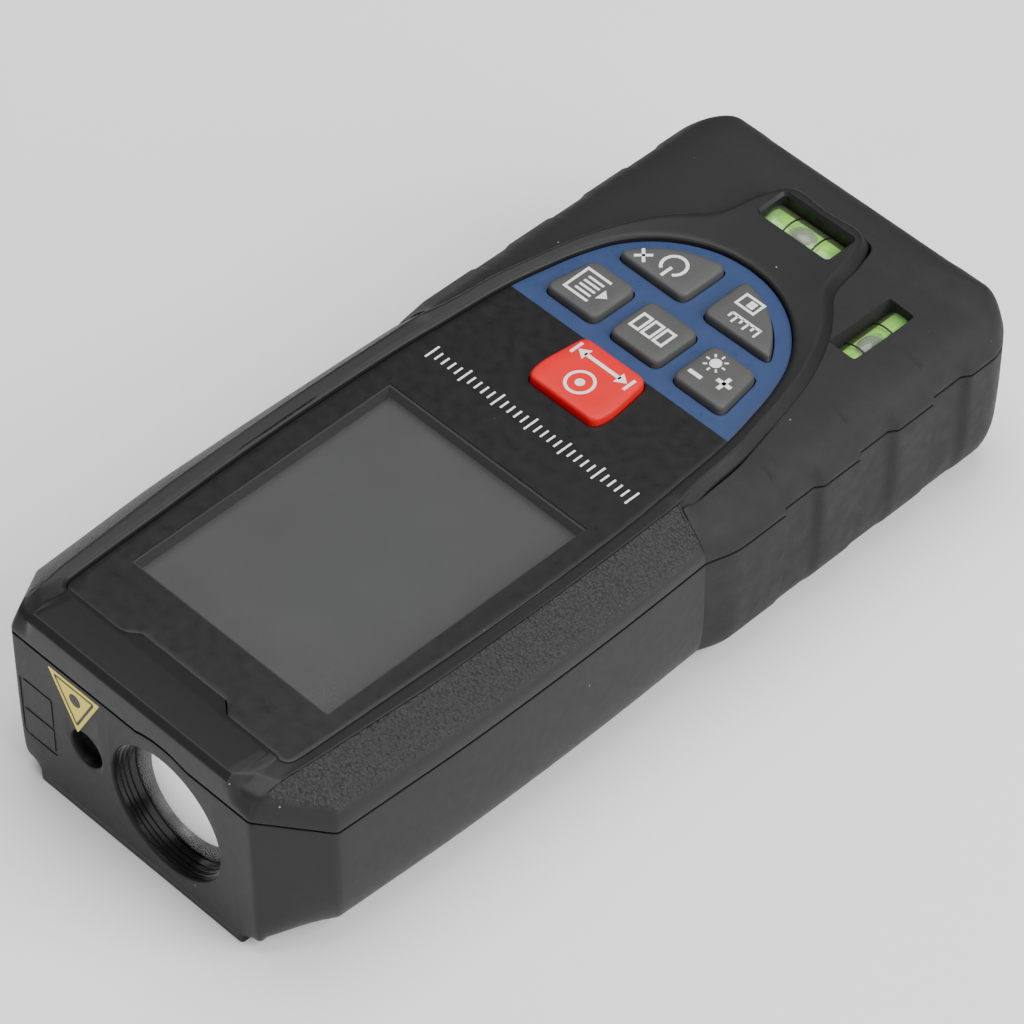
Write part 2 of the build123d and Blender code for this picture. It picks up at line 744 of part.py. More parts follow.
def make_screws():
    """Four self-tapping screws driven up from the underside."""
    screws = []
    for x, y in screw_places():
        head = rod_z(x, y, screw_head_radius, screw_head_z - 1.5, screw_head_z)
        head -= Pos(x, y, screw_head_z - 1.5) * Box(2.2, 0.6, 1.6)
        head -= Pos(x, y, screw_head_z - 1.5) * Box(0.6, 2.2, 1.6)
        screws.append(head + rod_z(x, y, screw_radius, screw_head_z, screw_head_z + screw_length))
    return Compound(children=screws)


# ---- write every piece ----
os.makedirs("parts", exist_ok=True)
save("lower_case", make_lower_case())
save("upper_case", make_upper_case())
save("grip_lower", make_grip_lower())
save("grip_upper", make_grip_upper())
save("display_fascia", make_fascia())
save("lcd_glass", make_lcd("glass"))
save("lcd_backlight", make_lcd("backlight"))
save("lcd_frame", make_lcd("frame"))
for key_name in key_names:
    save(key_name, make_key(key_name))
save("keypad_mat", make_keypad_mat())
save("dome_switches", make_domes())
save("main_board", make_main_board())
save("board_chips", make_board_chips())
save("buzzer", make_buzzer())
save("optics_block", make_optics_block())
save("lens_barrel", make_lens_barrel())
save("receiver_lens", make_receiver_lens())
save("lens_ring", make_lens_ring())
save("laser_module", make_laser_module())
save("laser_window", make_laser_window())
save("sensor_board", make_sensor_board())
save("photodiode", make_photodiode())
save("warning_label", make_warning_label())
save("vial_cross", make_vial(0, "tube"))
save("vial_cross_liquid", make_vial(0, "liquid"))
save("vial_long", make_vial(1, "tube"))
save("vial_long_liquid", make_vial(1, "liquid"))
save("battery_tray", make_battery_tray())
save("battery_cells", make_cells())
save("contact_plates", make_contact_plates())
save("contact_springs", make_contact_springs())
save("battery_door", make_battery_door())
save("door_pin", make_door_pin())
save("case_screws", make_screws())
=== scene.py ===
import math
import bmesh
import bpy
import numpy as np
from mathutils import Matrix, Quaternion, Vector


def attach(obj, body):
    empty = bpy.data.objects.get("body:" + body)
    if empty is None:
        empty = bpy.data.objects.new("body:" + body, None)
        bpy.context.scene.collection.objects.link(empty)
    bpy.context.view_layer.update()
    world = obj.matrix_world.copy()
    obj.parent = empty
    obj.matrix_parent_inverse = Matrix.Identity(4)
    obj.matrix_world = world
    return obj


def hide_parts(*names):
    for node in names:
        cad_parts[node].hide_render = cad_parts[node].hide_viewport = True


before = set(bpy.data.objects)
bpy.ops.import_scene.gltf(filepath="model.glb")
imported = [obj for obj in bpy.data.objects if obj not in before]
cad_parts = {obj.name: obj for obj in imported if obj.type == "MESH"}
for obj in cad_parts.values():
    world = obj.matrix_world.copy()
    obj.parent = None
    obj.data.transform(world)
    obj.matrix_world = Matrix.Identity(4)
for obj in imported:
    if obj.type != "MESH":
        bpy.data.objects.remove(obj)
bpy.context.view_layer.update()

# Laser distance meter. Sizes in this script are millimetres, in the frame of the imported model: +Y is the
# way the beam leaves, +X the user's right, +Z up. Meshes are written in metres.
METRES = 0.001

# ---- sizes ----
HALF_LENGTH = 59.0
SIDE = 25.65                     # half the width of the hard front section
JOIN = -5.65                     # where the rubber starts
CHAMFER_Y = 51.3
BORDER_Z = 26.8
LIP_Z = 28.0
FRONT_SEAM_Z = 23.05
SIDE_SEAM_Z = 19.7
SEAM_HALF_GAP = 0.17
SIDE_BOW = 0.7                   # how far the hard sides bow out between corner and rubber
CASE_FLOOR_Z = 0.8
FOOT_SIDE = 17.2                 # half the width of the foot under the front
FASCIA_Z = 25.9
FASCIA_BASE_Z = 24.9
FASCIA_END_Y = -22.5
FASCIA_END_R = 16.41
BLUE_Y = -17.1
WINDOW = (16.3, 3.95, 43.95)     # half width, rear edge, front edge
LCD_Z = 23.9
GRIP_SIDE = 26.85
GRIP_TAPER = 0.55                # how much narrower each side of the rubber is at the rear
GRIP_CORNER = 6.3
GRIP_TOP_Z = 25.5
CORE_SIDE, CORE_REAR = 23.6, -56.6
KEY_TOP_Z = 27.1
LENS_X, BEAM_Z, LASER_X = -5.3, 12.4, 8.1
BORE_R, APERTURE_R, HOOD_R = 9.0, 2.55, 11.4
VIALS = {"cross": (0.0, -48.4, 22.3, 5.65, 2.25), "long": (-16.4, -42.6, 20.4, 5.1, 2.05)}
VIAL_R = 3.2
VIAL_SEAT = [(VIAL_R + 0.05, -6.9), (VIAL_R + 0.05, 6.9)]
DOOR = (10.9, -48.7, -0.9)       # half width, rear edge, front edge of its opening
HINGE = (-2.1, 1.9)              # y and z of the battery door's pin
SCREWS = [(20.5, 32.0), (-20.5, 32.0), (16.8, -30.0), (-16.8, -30.0)]


# ---- curves and surfaces ----
def flowing(points, counts, bends):
    """A run through points, counts[i] steps from point i to the next. Where bends[i] is 0 the step is a
    line. Where it is 1 it is a cubic whose end directions carry on the lines beside it, or lie along the
    chord between the two neighbours."""
    p = np.asarray(points, float)
    hops = np.diff(p, axis=0)
    size = np.linalg.norm(hops, axis=1)[:, None]
    way = hops / size
    turn = np.zeros_like(p)
    turn[0], turn[-1] = way[0], way[-1]
    for i in range(1, len(p) - 1):
        before, after = bends[i - 1], bends[i]
        if before and after:
            turn[i] = (way[i - 1] * size[i] + way[i] * size[i - 1]) / (size[i - 1] + size[i])
        else:
            turn[i] = way[i] if before else way[i - 1]
    out = []
    for i, n in enumerate(counts):
        t = np.arange(n)[:, None] / n
        if bends[i]:
            a, b = turn[i] * size[i], turn[i + 1] * size[i]
            out.append((2 * t**3 - 3 * t**2 + 1) * p[i] + (t**3 - 2 * t**2 + t) * a
                       + (3 * t**2 - 2 * t**3) * p[i + 1] + (t**3 - t**2) * b)
        else:
            out.append(p[i] + t * hops[i])
    return np.concatenate(out + [p[-1:]])


def softened(rows, radii, steps=4, closed=False):
    """Rows of points, with the corner at each row cut back towards both neighbours by its radius and the
    two cuts joined by a parabola: (1-t)^2 A + 2t(1-t) corner + t^2 B."""
    rows = np.asarray(rows, float)
    n = len(rows)
    t = np.linspace(0, 1, steps + 1).reshape((-1,) + (1,) * (rows.ndim - 1))
    out = []
    for k in range(n):
        if not closed and k in (0, n - 1):
            out.append(rows[k:k + 1])
            continue
        back, ahead = rows[k - 1] - rows[k], rows[(k + 1) % n] - rows[k]
        long_back = np.linalg.norm(back, axis=-1, keepdims=True) + 1e-9
        long_ahead = np.linalg.norm(ahead, axis=-1, keepdims=True) + 1e-9
        reach = np.asarray(radii[k], float)
        reach = reach[..., None] if reach.ndim else reach
        a = rows[k] + back / long_back * np.minimum(reach, 0.47 * long_back)
        b = rows[k] + ahead / long_ahead * np.minimum(reach, 0.47 * long_ahead)
        out.append((1 - t) ** 2 * a + 2 * t * (1 - t) * rows[k] + t**2 * b)
    return np.concatenate(out)


def grown(line, distance, closed=True):
    """A line in plan moved sideways, to its left as it runs, along the normal of the chord between each
    point's neighbours. Height is kept."""
    line = np.asarray(line, float)
    if closed:
        chord = np.roll(line, -1, 0) - np.roll(line, 1, 0)
    else:
        chord = np.gradient(line, axis=0)
    normal = np.stack([-chord[:, 1], chord[:, 0]], 1)
    normal /= np.linalg.norm(normal, axis=1)[:, None] + 1e-12
    out = line.copy()
    out[:, :2] += normal * np.asarray(distance).reshape(-1, 1)
    return out


def at_height(line, z):
    """A line in plan with its height added."""
    line = np.asarray(line, float)
    return np.column_stack([line[:, 0], line[:, 1], np.broadcast_to(z, len(line))])


def whole(half):
    """A half outline from the middle of the front to the middle of the rear, joined to its mirror image."""
    other = half[-2:0:-1] * np.array([-1.0, 1, 1])
    return np.concatenate([half, other])


def grid_faces(rows, columns, closed_rows, closed_columns):
    """Four-sided faces of a grid, wrapped round in either direction where it is closed."""
    i = np.arange(rows if closed_rows else rows - 1)[:, None]
    j = np.arange(columns if closed_columns else columns - 1)[None, :]
    i2, j2 = (i + 1) % rows, (j + 1) % columns
    corners = [i * columns + j, i * columns + j2, i2 * columns + j2, i2 * columns + j]
    return np.stack(np.broadcast_arrays(*corners), -1).reshape(-1, 4)


def ring_solid(rows):
    """A closed solid from a stack of closed outlines, with a flat face over the first and the last."""
    rows = np.asarray(rows, float)
    m, n = rows.shape[:2]
    faces = grid_faces(m, n, False, True).tolist()
    faces += [list(range(n))[::-1], [(m - 1) * n + k for k in range(n)]]
    return rows.reshape(-1, 3), faces


def tube_solid(rows):
    """A closed solid from closed outlines whose stack also closes on itself, like a picture frame."""
    rows = np.asarray(rows, float)
    return rows.reshape(-1, 3), grid_faces(*rows.shape[:2], True, True).tolist()


def spun(profile, centre, axis, steps):
    """A profile of (radius, distance along the axis) turned once round an axis through centre."""
    angle = np.linspace(0, 2 * np.pi, steps, endpoint=False)
    radius, along = np.asarray(profile, float).T[:, :, None]
    across, up = radius * np.cos(angle), radius * np.sin(angle)
    along = np.broadcast_to(along, across.shape)
    order = {"y": (across, along, up), "x": (along, across, up)}[axis]
    return np.stack(order, -1) + np.asarray(centre, float)


def lathe(profile, centre, axis="y", steps=96):
    """A ring: a closed profile turned round the axis."""
    return tube_solid(spun(profile, centre, axis, steps))


def turned(profile, centre, axis="y", steps=96):
    """A plug: an open profile turned round the axis and closed by flat ends."""
    return ring_solid(spun(profile, centre, axis, steps))


def prism(outline, z0, z1):
    """A closed outline in plan raised from z0 to z1."""
    outline = np.asarray(outline, float)
    return ring_solid([at_height(outline, z0), at_height(outline, z1)])


def facing_front(solid, y):
    """A solid drawn flat, in x and z, turned so that its height becomes distance forward from y."""
    points, faces = solid
    return np.column_stack([points[:, 0], y + points[:, 2], points[:, 1]]), faces


def merged(solids):
    """Several solids as one list of points and one list of faces."""
    points, faces, start = [], [], 0
    for p, f in solids:
        points.append(p)
        faces += [[k + start for k in face] for face in f]
        start += len(p)
    return np.concatenate(points), faces


def box_solid(x0, x1, y0, y1, z0, z1):
    """A box between two corners."""
    return prism([(x0, y0), (x1, y0), (x1, y1), (x0, y1)], z0, z1)


def disc(x, y, radius, steps=32):
    """A circle in plan."""
    angle = np.linspace(0, 2 * np.pi, steps, endpoint=False)
    return np.stack([x + radius * np.cos(angle), y + radius * np.sin(angle)], 1)


def rounded_outline(corners, radii, steps=6):
    """A polygon in plan with rounded corners."""
    corners = at_height(corners, 0)
    radii = np.broadcast_to(radii, len(corners))
    return softened(corners, radii, steps, closed=True)[:, :2]


def rounded_box(x0, x1, y0, y1, radius, steps=6):
    """A rectangle in plan with rounded corners."""
    return rounded_outline([(x0, y0), (x1, y0), (x1, y1), (x0, y1)], radius, steps)


def ribbon(points, width, z0, z1, closed=False):
    """A flat stroke of one width along a line in plan, with mitred corners."""
    p = np.asarray(points, float)
    ahead = np.roll(p, -1, 0) - p
    back = p - np.roll(p, 1, 0)
    if not closed:
        ahead[-1], back[0] = back[-1], ahead[0]
    ahead /= np.linalg.norm(ahead, axis=1)[:, None]
    back /= np.linalg.norm(back, axis=1)[:, None]
    n1, n2 = np.stack([-back[:, 1], back[:, 0]], 1), np.stack([-ahead[:, 1], ahead[:, 0]], 1)
    miter = (n1 + n2) / (1 + (n1 * n2).sum(1))[:, None]
    left, right = p + miter * width / 2, p - miter * width / 2
    profile = np.stack([at_height(left, z0), at_height(right, z0), at_height(right, z1),
                        at_height(left, z1)], 1)
    return tube_solid(profile) if closed else ring_solid(profile)


def make_mesh(name, solid):
    """Points and faces as a mesh object in metres, doubles merged and faces turned outwards."""
    points, faces = solid
    mesh = bpy.data.meshes.new(name)
    mesh.from_pydata((np.asarray(points) * METRES).tolist(), [], faces)
    bm = bmesh.new()
    bm.from_mesh(mesh)
    bmesh.ops.remove_doubles(bm, verts=bm.verts, dist=1e-6)
    bmesh.ops.recalc_face_normals(bm, faces=bm.faces)
    bm.to_mesh(mesh)
    bm.free()
    made = bpy.data.objects.new(name, mesh)
    bpy.context.scene.collection.objects.link(made)
    return made


def carve(target, solid, mode="DIFFERENCE"):
    """Cuts a solid out of a piece, or joins it to the piece, and keeps the result as the piece's mesh."""
    tool = make_mesh("tool", solid)
    step = target.modifiers.new("carve", "BOOLEAN")
    step.operation, step.object, step.solver = mode, tool, "EXACT"
    result = bpy.data.meshes.new_from_object(target.evaluated_get(bpy.context.evaluated_depsgraph_get()))
    target.modifiers.clear()
    old, target.data = target.data, result
    bpy.data.meshes.remove(old)
    bpy.data.objects.remove(tool)


def finished(piece, material, body="housing", stands_for=(), crease=32):
    """Shades a piece smooth between creases, gives it its material and places it on its body."""
    mesh = piece.data
    mesh.shade_smooth()
    mesh.set_sharp_from_angle(angle=math.radians(crease))
    if not len(mesh.materials):
        mesh.materials.append(material)
    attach(piece, body)
    if stands_for:
        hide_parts(*stands_for)


# ---- materials ----
class Finish:
    """A node material under construction. Patterns read Object coordinates, so sizes are in metres."""

    def __init__(self, name, colour, roughness, **sockets):
        self.material = bpy.data.materials.new(name)
        self.material.use_nodes = True
        self.tree = self.material.node_tree
        self.shader = self.tree.nodes["Principled BSDF"]
        self.colour = None
        self.set("Base Color", (*colour, 1))
        self.set("Roughness", roughness)
        for socket, value in sockets.items():
            self.set(socket.replace("_", " "), value)
        self.place = self.node("ShaderNodeTexCoord").outputs["Object"]
        self.flat = colour

    def set(self, socket, value):
        self.shader.inputs[socket].default_value = value

    def node(self, kind, **inputs):
        made = self.tree.nodes.new(kind)
        for key, value in inputs.items():
            self.feed(made.inputs[key.replace("_", " ")], value)
        return made

    def feed(self, socket, value):
        if isinstance(value, bpy.types.NodeSocket):
            self.tree.links.new(value, socket)
        else:
            socket.default_value = value

    def noise(self, scale, detail=2.0, rough=0.5):
        return self.node("ShaderNodeTexNoise", Vector=self.place, Scale=scale, Detail=detail,
                         Roughness=rough).outputs["Fac"]

    def cells(self, scale, feature="F1"):
        made = self.node("ShaderNodeTexVoronoi", Vector=self.place, Scale=scale)
        made.feature = feature
        return made

    def ramp(self, value, low, high, to_low=0.0, to_high=1.0):
        made = self.node("ShaderNodeMapRange", Value=value)
        for key, amount in (("From Min", low), ("From Max", high), ("To Min", to_low), ("To Max", to_high)):
            made.inputs[key].default_value = amount
        return made.outputs["Result"]

    def maths(self, operation, a, b=0.0):
        made = self.tree.nodes.new("ShaderNodeMath")
        made.operation = operation
        self.feed(made.inputs[0], a)
        self.feed(made.inputs[1], b)
        return made.outputs[0]

    def mix(self, share, a, b):
        made = self.tree.nodes.new("ShaderNodeMix")
        made.data_type = "RGBA"
        self.feed(made.inputs["Factor"], share)
        for key, value in (("A", a), ("B", b)):
            value = value if isinstance(value, bpy.types.NodeSocket) else (*value, 1)
            self.feed([s for s in made.inputs if s.name == key and s.type == "RGBA"][0], value)
        return [s for s in made.outputs if s.type == "RGBA"][0]

    def paint(self, share, colour):
        """Lays a colour over what is there, by a share."""
        under = self.colour or self.flat
        self.colour = self.mix(share, under, colour)
        self.tree.links.new(self.colour, self.shader.inputs["Base Color"])

    def mottled(self, scale, depth):
        """Slow changes of tone, darker and lighter by depth."""
        tone = self.ramp(self.noise(scale, 3.0), 0.3, 0.7)
        dark = tuple(c * (1 - depth) for c in self.flat)
        light = tuple(min(1.0, c * (1 + depth)) for c in self.flat)
        self.colour = self.mix(tone, dark, light)
        self.tree.links.new(self.colour, self.shader.inputs["Base Color"])

    def rough_by(self, value, low, high):
        self.tree.links.new(self.ramp(value, 0.3, 0.7, low, high), self.shader.inputs["Roughness"])

    def relief(self, height, strength, distance):
        """A bump from a height, on top of any bump that is there."""
        made = self.node("ShaderNodeBump", Height=height, Strength=strength, Distance=distance)
        before = self.shader.inputs["Normal"].links
        if before:
            self.tree.links.new(before[0].from_socket, made.inputs["Normal"])
        self.tree.links.new(made.outputs["Normal"], self.shader.inputs["Normal"])

    def dusty(self, scale, size, chance, colour=(0.45, 0.45, 0.43)):
        """Sparse pale specks: small discs round some of the points of a cell pattern."""
        cell = self.cells(scale)
        near = self.ramp(cell.outputs["Distance"], size, size * 0.6)
        channel = self.node("ShaderNodeSeparateColor", Color=cell.outputs["Color"]).outputs[0]
        chosen = self.maths("GREATER_THAN", channel, 1 - chance)
        self.paint(self.maths("MULTIPLY", self.maths("MULTIPLY", near, chosen), 0.8), colour)


def case_plastic(name="case_plastic", tone=1.0, grained_with_sheen=False):
    """Matt moulded plastic. Where the piece carries a grain mark it turns to a leather-like grain of fine
    cells with soft valleys, and its colour is painted paler, palest on the cells: a painted sheen on the
    shoulder."""
    # a tone below 1 darkens the colour; the lower shell's copy uses it as painted shade
    f = Finish(name, tuple(tone * c for c in (0.0155, 0.0155, 0.016)), 0.42, Specular_IOR_Level=0.24)
    f.mottled(60, 0.03)
    f.dusty(420, 0.045, 0.05)
    f.rough_by(f.noise(900, 3.0), 0.41, 0.47)
    f.relief(f.noise(5200, 3.0, 0.6), 0.16, 0.0001)
    if grained_with_sheen:
        mark = f.node("ShaderNodeAttribute")
        mark.attribute_name = "grain"
        mark = mark.outputs["Fac"]
        cell = f.cells(2900).outputs["Distance"]
        fine = f.noise(4600, 3.0, 0.65)
        # painted sheen: the grain mark paints the shoulder paler, palest on the cells; the bumps below are
        # the real grain
        f.paint(f.maths("MULTIPLY", mark, f.ramp(cell, 0.8, 0.25, 0.15, 1.0)), (0.036, 0.036, 0.037))
        f.relief(f.maths("MULTIPLY", mark, fine), 0.7, 0.00022)
        f.relief(f.maths("MULTIPLY", mark, cell), 0.9, 0.00026)
    return f.material


def grip_rubber():
    f = Finish("grip_rubber", (0.0205, 0.02, 0.02), 0.6, Specular_IOR_Level=0.2)
    f.mottled(45, 0.07)
    f.dusty(300, 0.035, 0.12)
    f.dusty(900, 0.08, 0.06, (0.12, 0.12, 0.12))
    f.rough_by(f.noise(500, 3.0), 0.56, 0.7)
    f.relief(f.noise(2600, 4.0, 0.6), 0.28, 0.00014)
    return f.material


def fascia_print():
    """Satin black print that turns blue behind a straight line across the keys."""
    f = Finish("fascia_print", (0.009, 0.009, 0.0092), 0.3, Specular_IOR_Level=0.32)
    across = f.node("ShaderNodeSeparateXYZ", Vector=f.place).outputs["Y"]
    line = BLUE_Y * METRES
    f.paint(f.ramp(across, line + 0.00004, line - 0.00004), (0.03, 0.054, 0.135))
    f.dusty(260, 0.022, 0.06, (0.25, 0.25, 0.25))
    f.rough_by(f.noise(700, 3.0), 0.27, 0.36)
    f.relief(f.noise(4000, 2.0), 0.05, 0.00005)
    return f.material


def satin(name, colour, roughness, grain=0.12, scale=3500, mottle=0.05, **sockets):
    """A moulded or painted finish: a slow change of tone, uneven gloss and a fine grain."""
    f = Finish(name, colour, roughness, **sockets)
    f.mottled(120, mottle)
    f.rough_by(f.noise(scale * 0.3, 3.0), roughness * 0.88, min(1, roughness * 1.12))
    f.relief(f.noise(scale, 3.0), grain, 0.0001)
    return f.material


def metal(name, colour, roughness):
    """Drawn metal with faint streaks."""
    f = Finish(name, colour, roughness, Metallic=1.0)
    f.mottled(200, 0.08)
    f.rough_by(f.noise(2500, 4.0), roughness * 0.7, roughness * 1.3)
    f.relief(f.noise(6000, 2.0), 0.1, 0.00004)
    return f.material


def clear(name, colour, roughness, alpha):
    """A thin clear wall: mostly see-through, with its gloss on top."""
    f = Finish(name, colour, roughness, Alpha=alpha, Specular_IOR_Level=0.6)
    f.rough_by(f.noise(300, 2.0), roughness * 0.8, roughness * 1.3)
    f.relief(f.noise(1500, 2.0), 0.02, 0.00002)
    return f.material


def circuit_green():
    """Solder mask with paler tracks under it."""
    f = Finish("circuit_green", (0.01, 0.09, 0.035), 0.35)
    track = f.cells(260, "DISTANCE_TO_EDGE").outputs["Distance"]
    f.paint(f.ramp(track, 0.06, 0.03), (0.03, 0.18, 0.07))
    f.relief(track, 0.2, 0.00005)
    return f.material


def cell_wrap():
    """A plain battery sleeve: dark with a paler band at one end."""
    f = Finish("cell_wrap", (0.02, 0.022, 0.028), 0.3, Metallic=0.2)
    along = f.node("ShaderNodeSeparateXYZ", Vector=f.place).outputs["Y"]
    f.paint(f.ramp(along, -0.0135, -0.0133), (0.42, 0.23, 0.07))
    f.relief(f.noise(900, 2.0), 0.05, 0.00005)
    return f.material


def vial_liquid_painted_glow(name, axis, centre, half):
    """Tinted liquid with a painted glow: its colour is also given out as light, yellow-green in the middle,
    with painted shade darker towards its ends.
    """
    f = Finish(name, (0.2, 0.5, 0.06), 0.12, Specular_IOR_Level=0.5)
    along = f.node("ShaderNodeSeparateXYZ", Vector=f.place).outputs[axis]
    # painted shade: the liquid is darkened towards the ends of the vial
    away = f.maths("ABSOLUTE", f.maths("SUBTRACT", along, centre * METRES))
    f.paint(f.ramp(away, half * 0.55 * METRES, half * METRES, 0.0, 0.85), (0.03, 0.13, 0.05))
    f.paint(f.ramp(f.noise(260, 3.0), 0.45, 0.65, 0.0, 0.5), (0.42, 0.66, 0.1))
    # painted glow: the liquid's colour is given out as light, though it is no lamp
    f.tree.links.new(f.colour, f.shader.inputs["Emission Color"])
    f.set("Emission Strength", 0.35)
    return f.material


CASE = case_plastic(grained_with_sheen=True)
# painted shade: a darker copy (tone 0.66) of the same case plastic for the lower shell, the hinge ears and
# the battery door
CASE_PAINTED_SHADE = case_plastic("case_plastic_painted_shade", 0.66)
RUBBER = grip_rubber()
PRINT = fascia_print()
INK = satin("white_ink", (0.78, 0.78, 0.78), 0.5, 0.05)
BLACK = satin("black_plastic", (0.012, 0.012, 0.013), 0.35)
GLOSS_BLACK = satin("gloss_black", (0.006, 0.006, 0.006), 0.22, 0.04)
DEEP_BLACK = satin("deep_black", (0.006, 0.006, 0.006), 0.5)
KEY_GREY = satin("key_grey", (0.066, 0.066, 0.065), 0.52, 0.2, 2600, Specular_IOR_Level=0.3)
KEY_RED = satin("key_red", (0.68, 0.008, 0.01), 0.45, 0.15, 2600, Specular_IOR_Level=0.25)
WELL_GREY = satin("window_well", (0.02, 0.02, 0.021), 0.6, Specular_IOR_Level=0.25)
LCD = satin("lcd_glass", (0.056, 0.0565, 0.057), 0.24, 0.02, 900, 0.03, Specular_IOR_Level=0.25)
WINDOW_CLEAR = clear("window_clear", (0.2, 0.2, 0.2), 0.08, 0.05)
VIAL_CLEAR = clear("vial_clear", (0.6, 0.8, 0.4), 0.06, 0.08)
YELLOW = satin("label_yellow", (0.82, 0.66, 0.05), 0.4, 0.05)
LENS = Finish("coated_glass", (0.8, 0.79, 0.8), 0.07, Specular_IOR_Level=0.9, Metallic=0.8)
LENS.mottled(90, 0.03)
LENS.relief(LENS.noise(120, 1.0), 0.02, 0.00005)
LENS = LENS.material

CAD_FINISH = {
    "lcd_glass": LCD, "lcd_backlight": satin("backlight", (0.5, 0.52, 0.5), 0.5),
    "lcd_frame": BLACK, "keypad_mat": satin("mat_silicone", (0.12, 0.12, 0.13), 0.7),
    "dome_switches": metal("spring_steel", (0.6, 0.58, 0.55), 0.3), "main_board": circuit_green(),
    "board_chips": BLACK, "buzzer": BLACK,
    "optics_block": metal("cast_alloy", (0.42, 0.43, 0.44), 0.5), "lens_barrel": BLACK,
    "receiver_lens": LENS, "lens_ring": BLACK, "laser_module": metal("brass", (0.7, 0.5, 0.2), 0.3),
    "laser_window": satin("aperture_glass", (0.006, 0.006, 0.007), 0.08, 0.02),
    "sensor_board": circuit_green(), "photodiode": BLACK, "vial_cross": VIAL_CLEAR, "vial_long": VIAL_CLEAR,
    "vial_cross_liquid": vial_liquid_painted_glow("liquid_cross_painted_glow", "X", 0.0, 5.7),
    "vial_long_liquid": vial_liquid_painted_glow("liquid_long_painted_glow", "Y", -42.6, 5.7),
    "battery_tray": BLACK, "battery_cells": cell_wrap(),
    "contact_plates": metal("contact_nickel", (0.66, 0.64, 0.6), 0.28),
    "contact_springs": metal("contact_spring", (0.66, 0.64, 0.6), 0.25), "battery_door": CASE_PAINTED_SHADE,
    "door_pin": metal("pin_steel", (0.5, 0.5, 0.5), 0.35),
    "case_screws": metal("screw_steel", (0.16, 0.16, 0.17), 0.35),
}
for node_name, node_finish in CAD_FINISH.items():
    node_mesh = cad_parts[node_name].data
    node_mesh.materials.clear()
    node_mesh.materials.append(node_finish)

# ---- outlines shared by the shells ----
# Steps between the columns of a half outline: tab, lip, cheek, corner, side, join and round end.
COUNTS = [12, 3, 8, 4, 5, 4, 6, 4, 6, 8, 8, 8, 1, 4, 6, 5, 5, 6, 6, 6, 6, 5, 6]
END_ANGLES = np.radians([-13, -32, -50, -66, -74, -80, -90])
FRONT_XS = (0, 6.9, 8.9, 16.5)   # the first points of a control row, along the front
SIDE_YS = (36.5, 21.5, 8.3, JOIN)


def fascia_half():
    """Half of the fascia's outline: a notched front, a small corner, barrel sides and a round end."""
    points = [(0, 50.4), (6.9, 50.4), (8.9, 52), (16.2, 52), (17.5, 52), (18.4, 51.65), (18.72, 50.8),
              (18.77, 50.0), (18.8, 49.3), (19.2, 36.5), (19.62, 21.5), (19.55, 8.3), (18.9, JOIN),
              (18.89, JOIN - 0.1), (18.65, -9.1), (17.95, -17.1), (17.0, -22.0)]
    points += [(FASCIA_END_R * math.cos(a), FASCIA_END_Y + FASCIA_END_R * math.sin(a)) for a in END_ANGLES]
    bends = [0, 0, 0, 0, 1, 1, 0, 0] + [1] * 15
    line = flowing(at_height(points, 0), COUNTS, bends)
    line[0, 0] = line[-1, 0] = 0
    return line


FASCIA = fascia_half()
SPLITS = np.concatenate([[0], np.cumsum(COUNTS)])
JOIN_COLUMN = SPLITS[12]


def ring_contour():
    """The outer edge of the raised border behind the join, drawn out into the tail under the cross vial."""
    points = [(21.4, JOIN - 0.1), (20.65, -9.7), (19.9, -17.0), (19.0, -21.4), (17.95, -26.4),
              (16.2, -32.0), (13.0, -38.1), (9.0, -42.8), (7.1, -49.6), (6.1, -51.5), (0, -51.9)]
    line = flowing(at_height(points, 0), COUNTS[13:], [1] * 10)
    line[-1, 0] = 0
    return line


CONTOUR = ring_contour()


def front_row(points, rear):
    """One control row of a shell: thirteen points round the front section, then the row's rear part."""
    bends = [0, 0, 0, 0, 0, 1, 0, 1, 0, 1, 1, 1]
    fore = flowing(points, COUNTS[:12], bends)
    return np.concatenate([fore, rear])


def rear_row(distance, z):
    """The rear part of a row: the ring's outer edge moved outwards and set at a height."""
    moved = grown(CONTOUR, distance, closed=False)
    moved[-1, 0] = 0
    moved[0, :2] = CONTOUR[0, :2] + (distance, 0)
    return at_height(moved[:, :2], z)


def bowed(y):
    """How far out the hard side stands at y: a parabola between the cut corner and the rubber."""
    half = (CHAMFER_Y - JOIN) / 2
    return SIDE + SIDE_BOW * (1 - ((y - CHAMFER_Y + half) / half) ** 2)


def seam_points(inset=0.0):
    """The parting line round the front section: level across the front, falling along the cut corners."""
    d = inset
    front = [(x, HALF_LENGTH - d, FRONT_SEAM_Z) for x in (*FRONT_XS, 17.6, 19.5 - 0.5 * d)]
    sides = [(bowed(y) - d, y, SIDE_SEAM_Z) for y in SIDE_YS]
    return [*front, (20.4 - 0.6 * d, 58.4 - 0.8 * d, 22.85),
            (25.2 - 0.9 * d, 51.9 - 0.6 * d, 19.95), (SIDE - d, 50.9 - 0.4 * d, SIDE_SEAM_Z), *sides]


def over_lens(ring):
    """Lifts the parting line over the lens: where it crosses the hood it follows the hood's circle."""
    ring = ring.copy()
    away = np.abs(ring[:, 0] - LENS_X)
    arch = BEAM_Z + np.sqrt(np.clip(HOOD_R**2 - away**2, 0, None))
    lift = np.where((ring[:, 1] > 40) & (away < HOOD_R), np.clip(arch - FRONT_SEAM_Z, 0, None), 0)
    ring[:, 2] += lift
    return ring


# ---- upper shell ----
def round_fascia(distance, z):
    """The fascia's half outline moved outwards and set at a height, its ends kept on the middle line."""
    row = at_height(grown(FASCIA, distance, closed=False)[:, :2], z)
    row[0, 0] = row[-1, 0] = 0
    return row


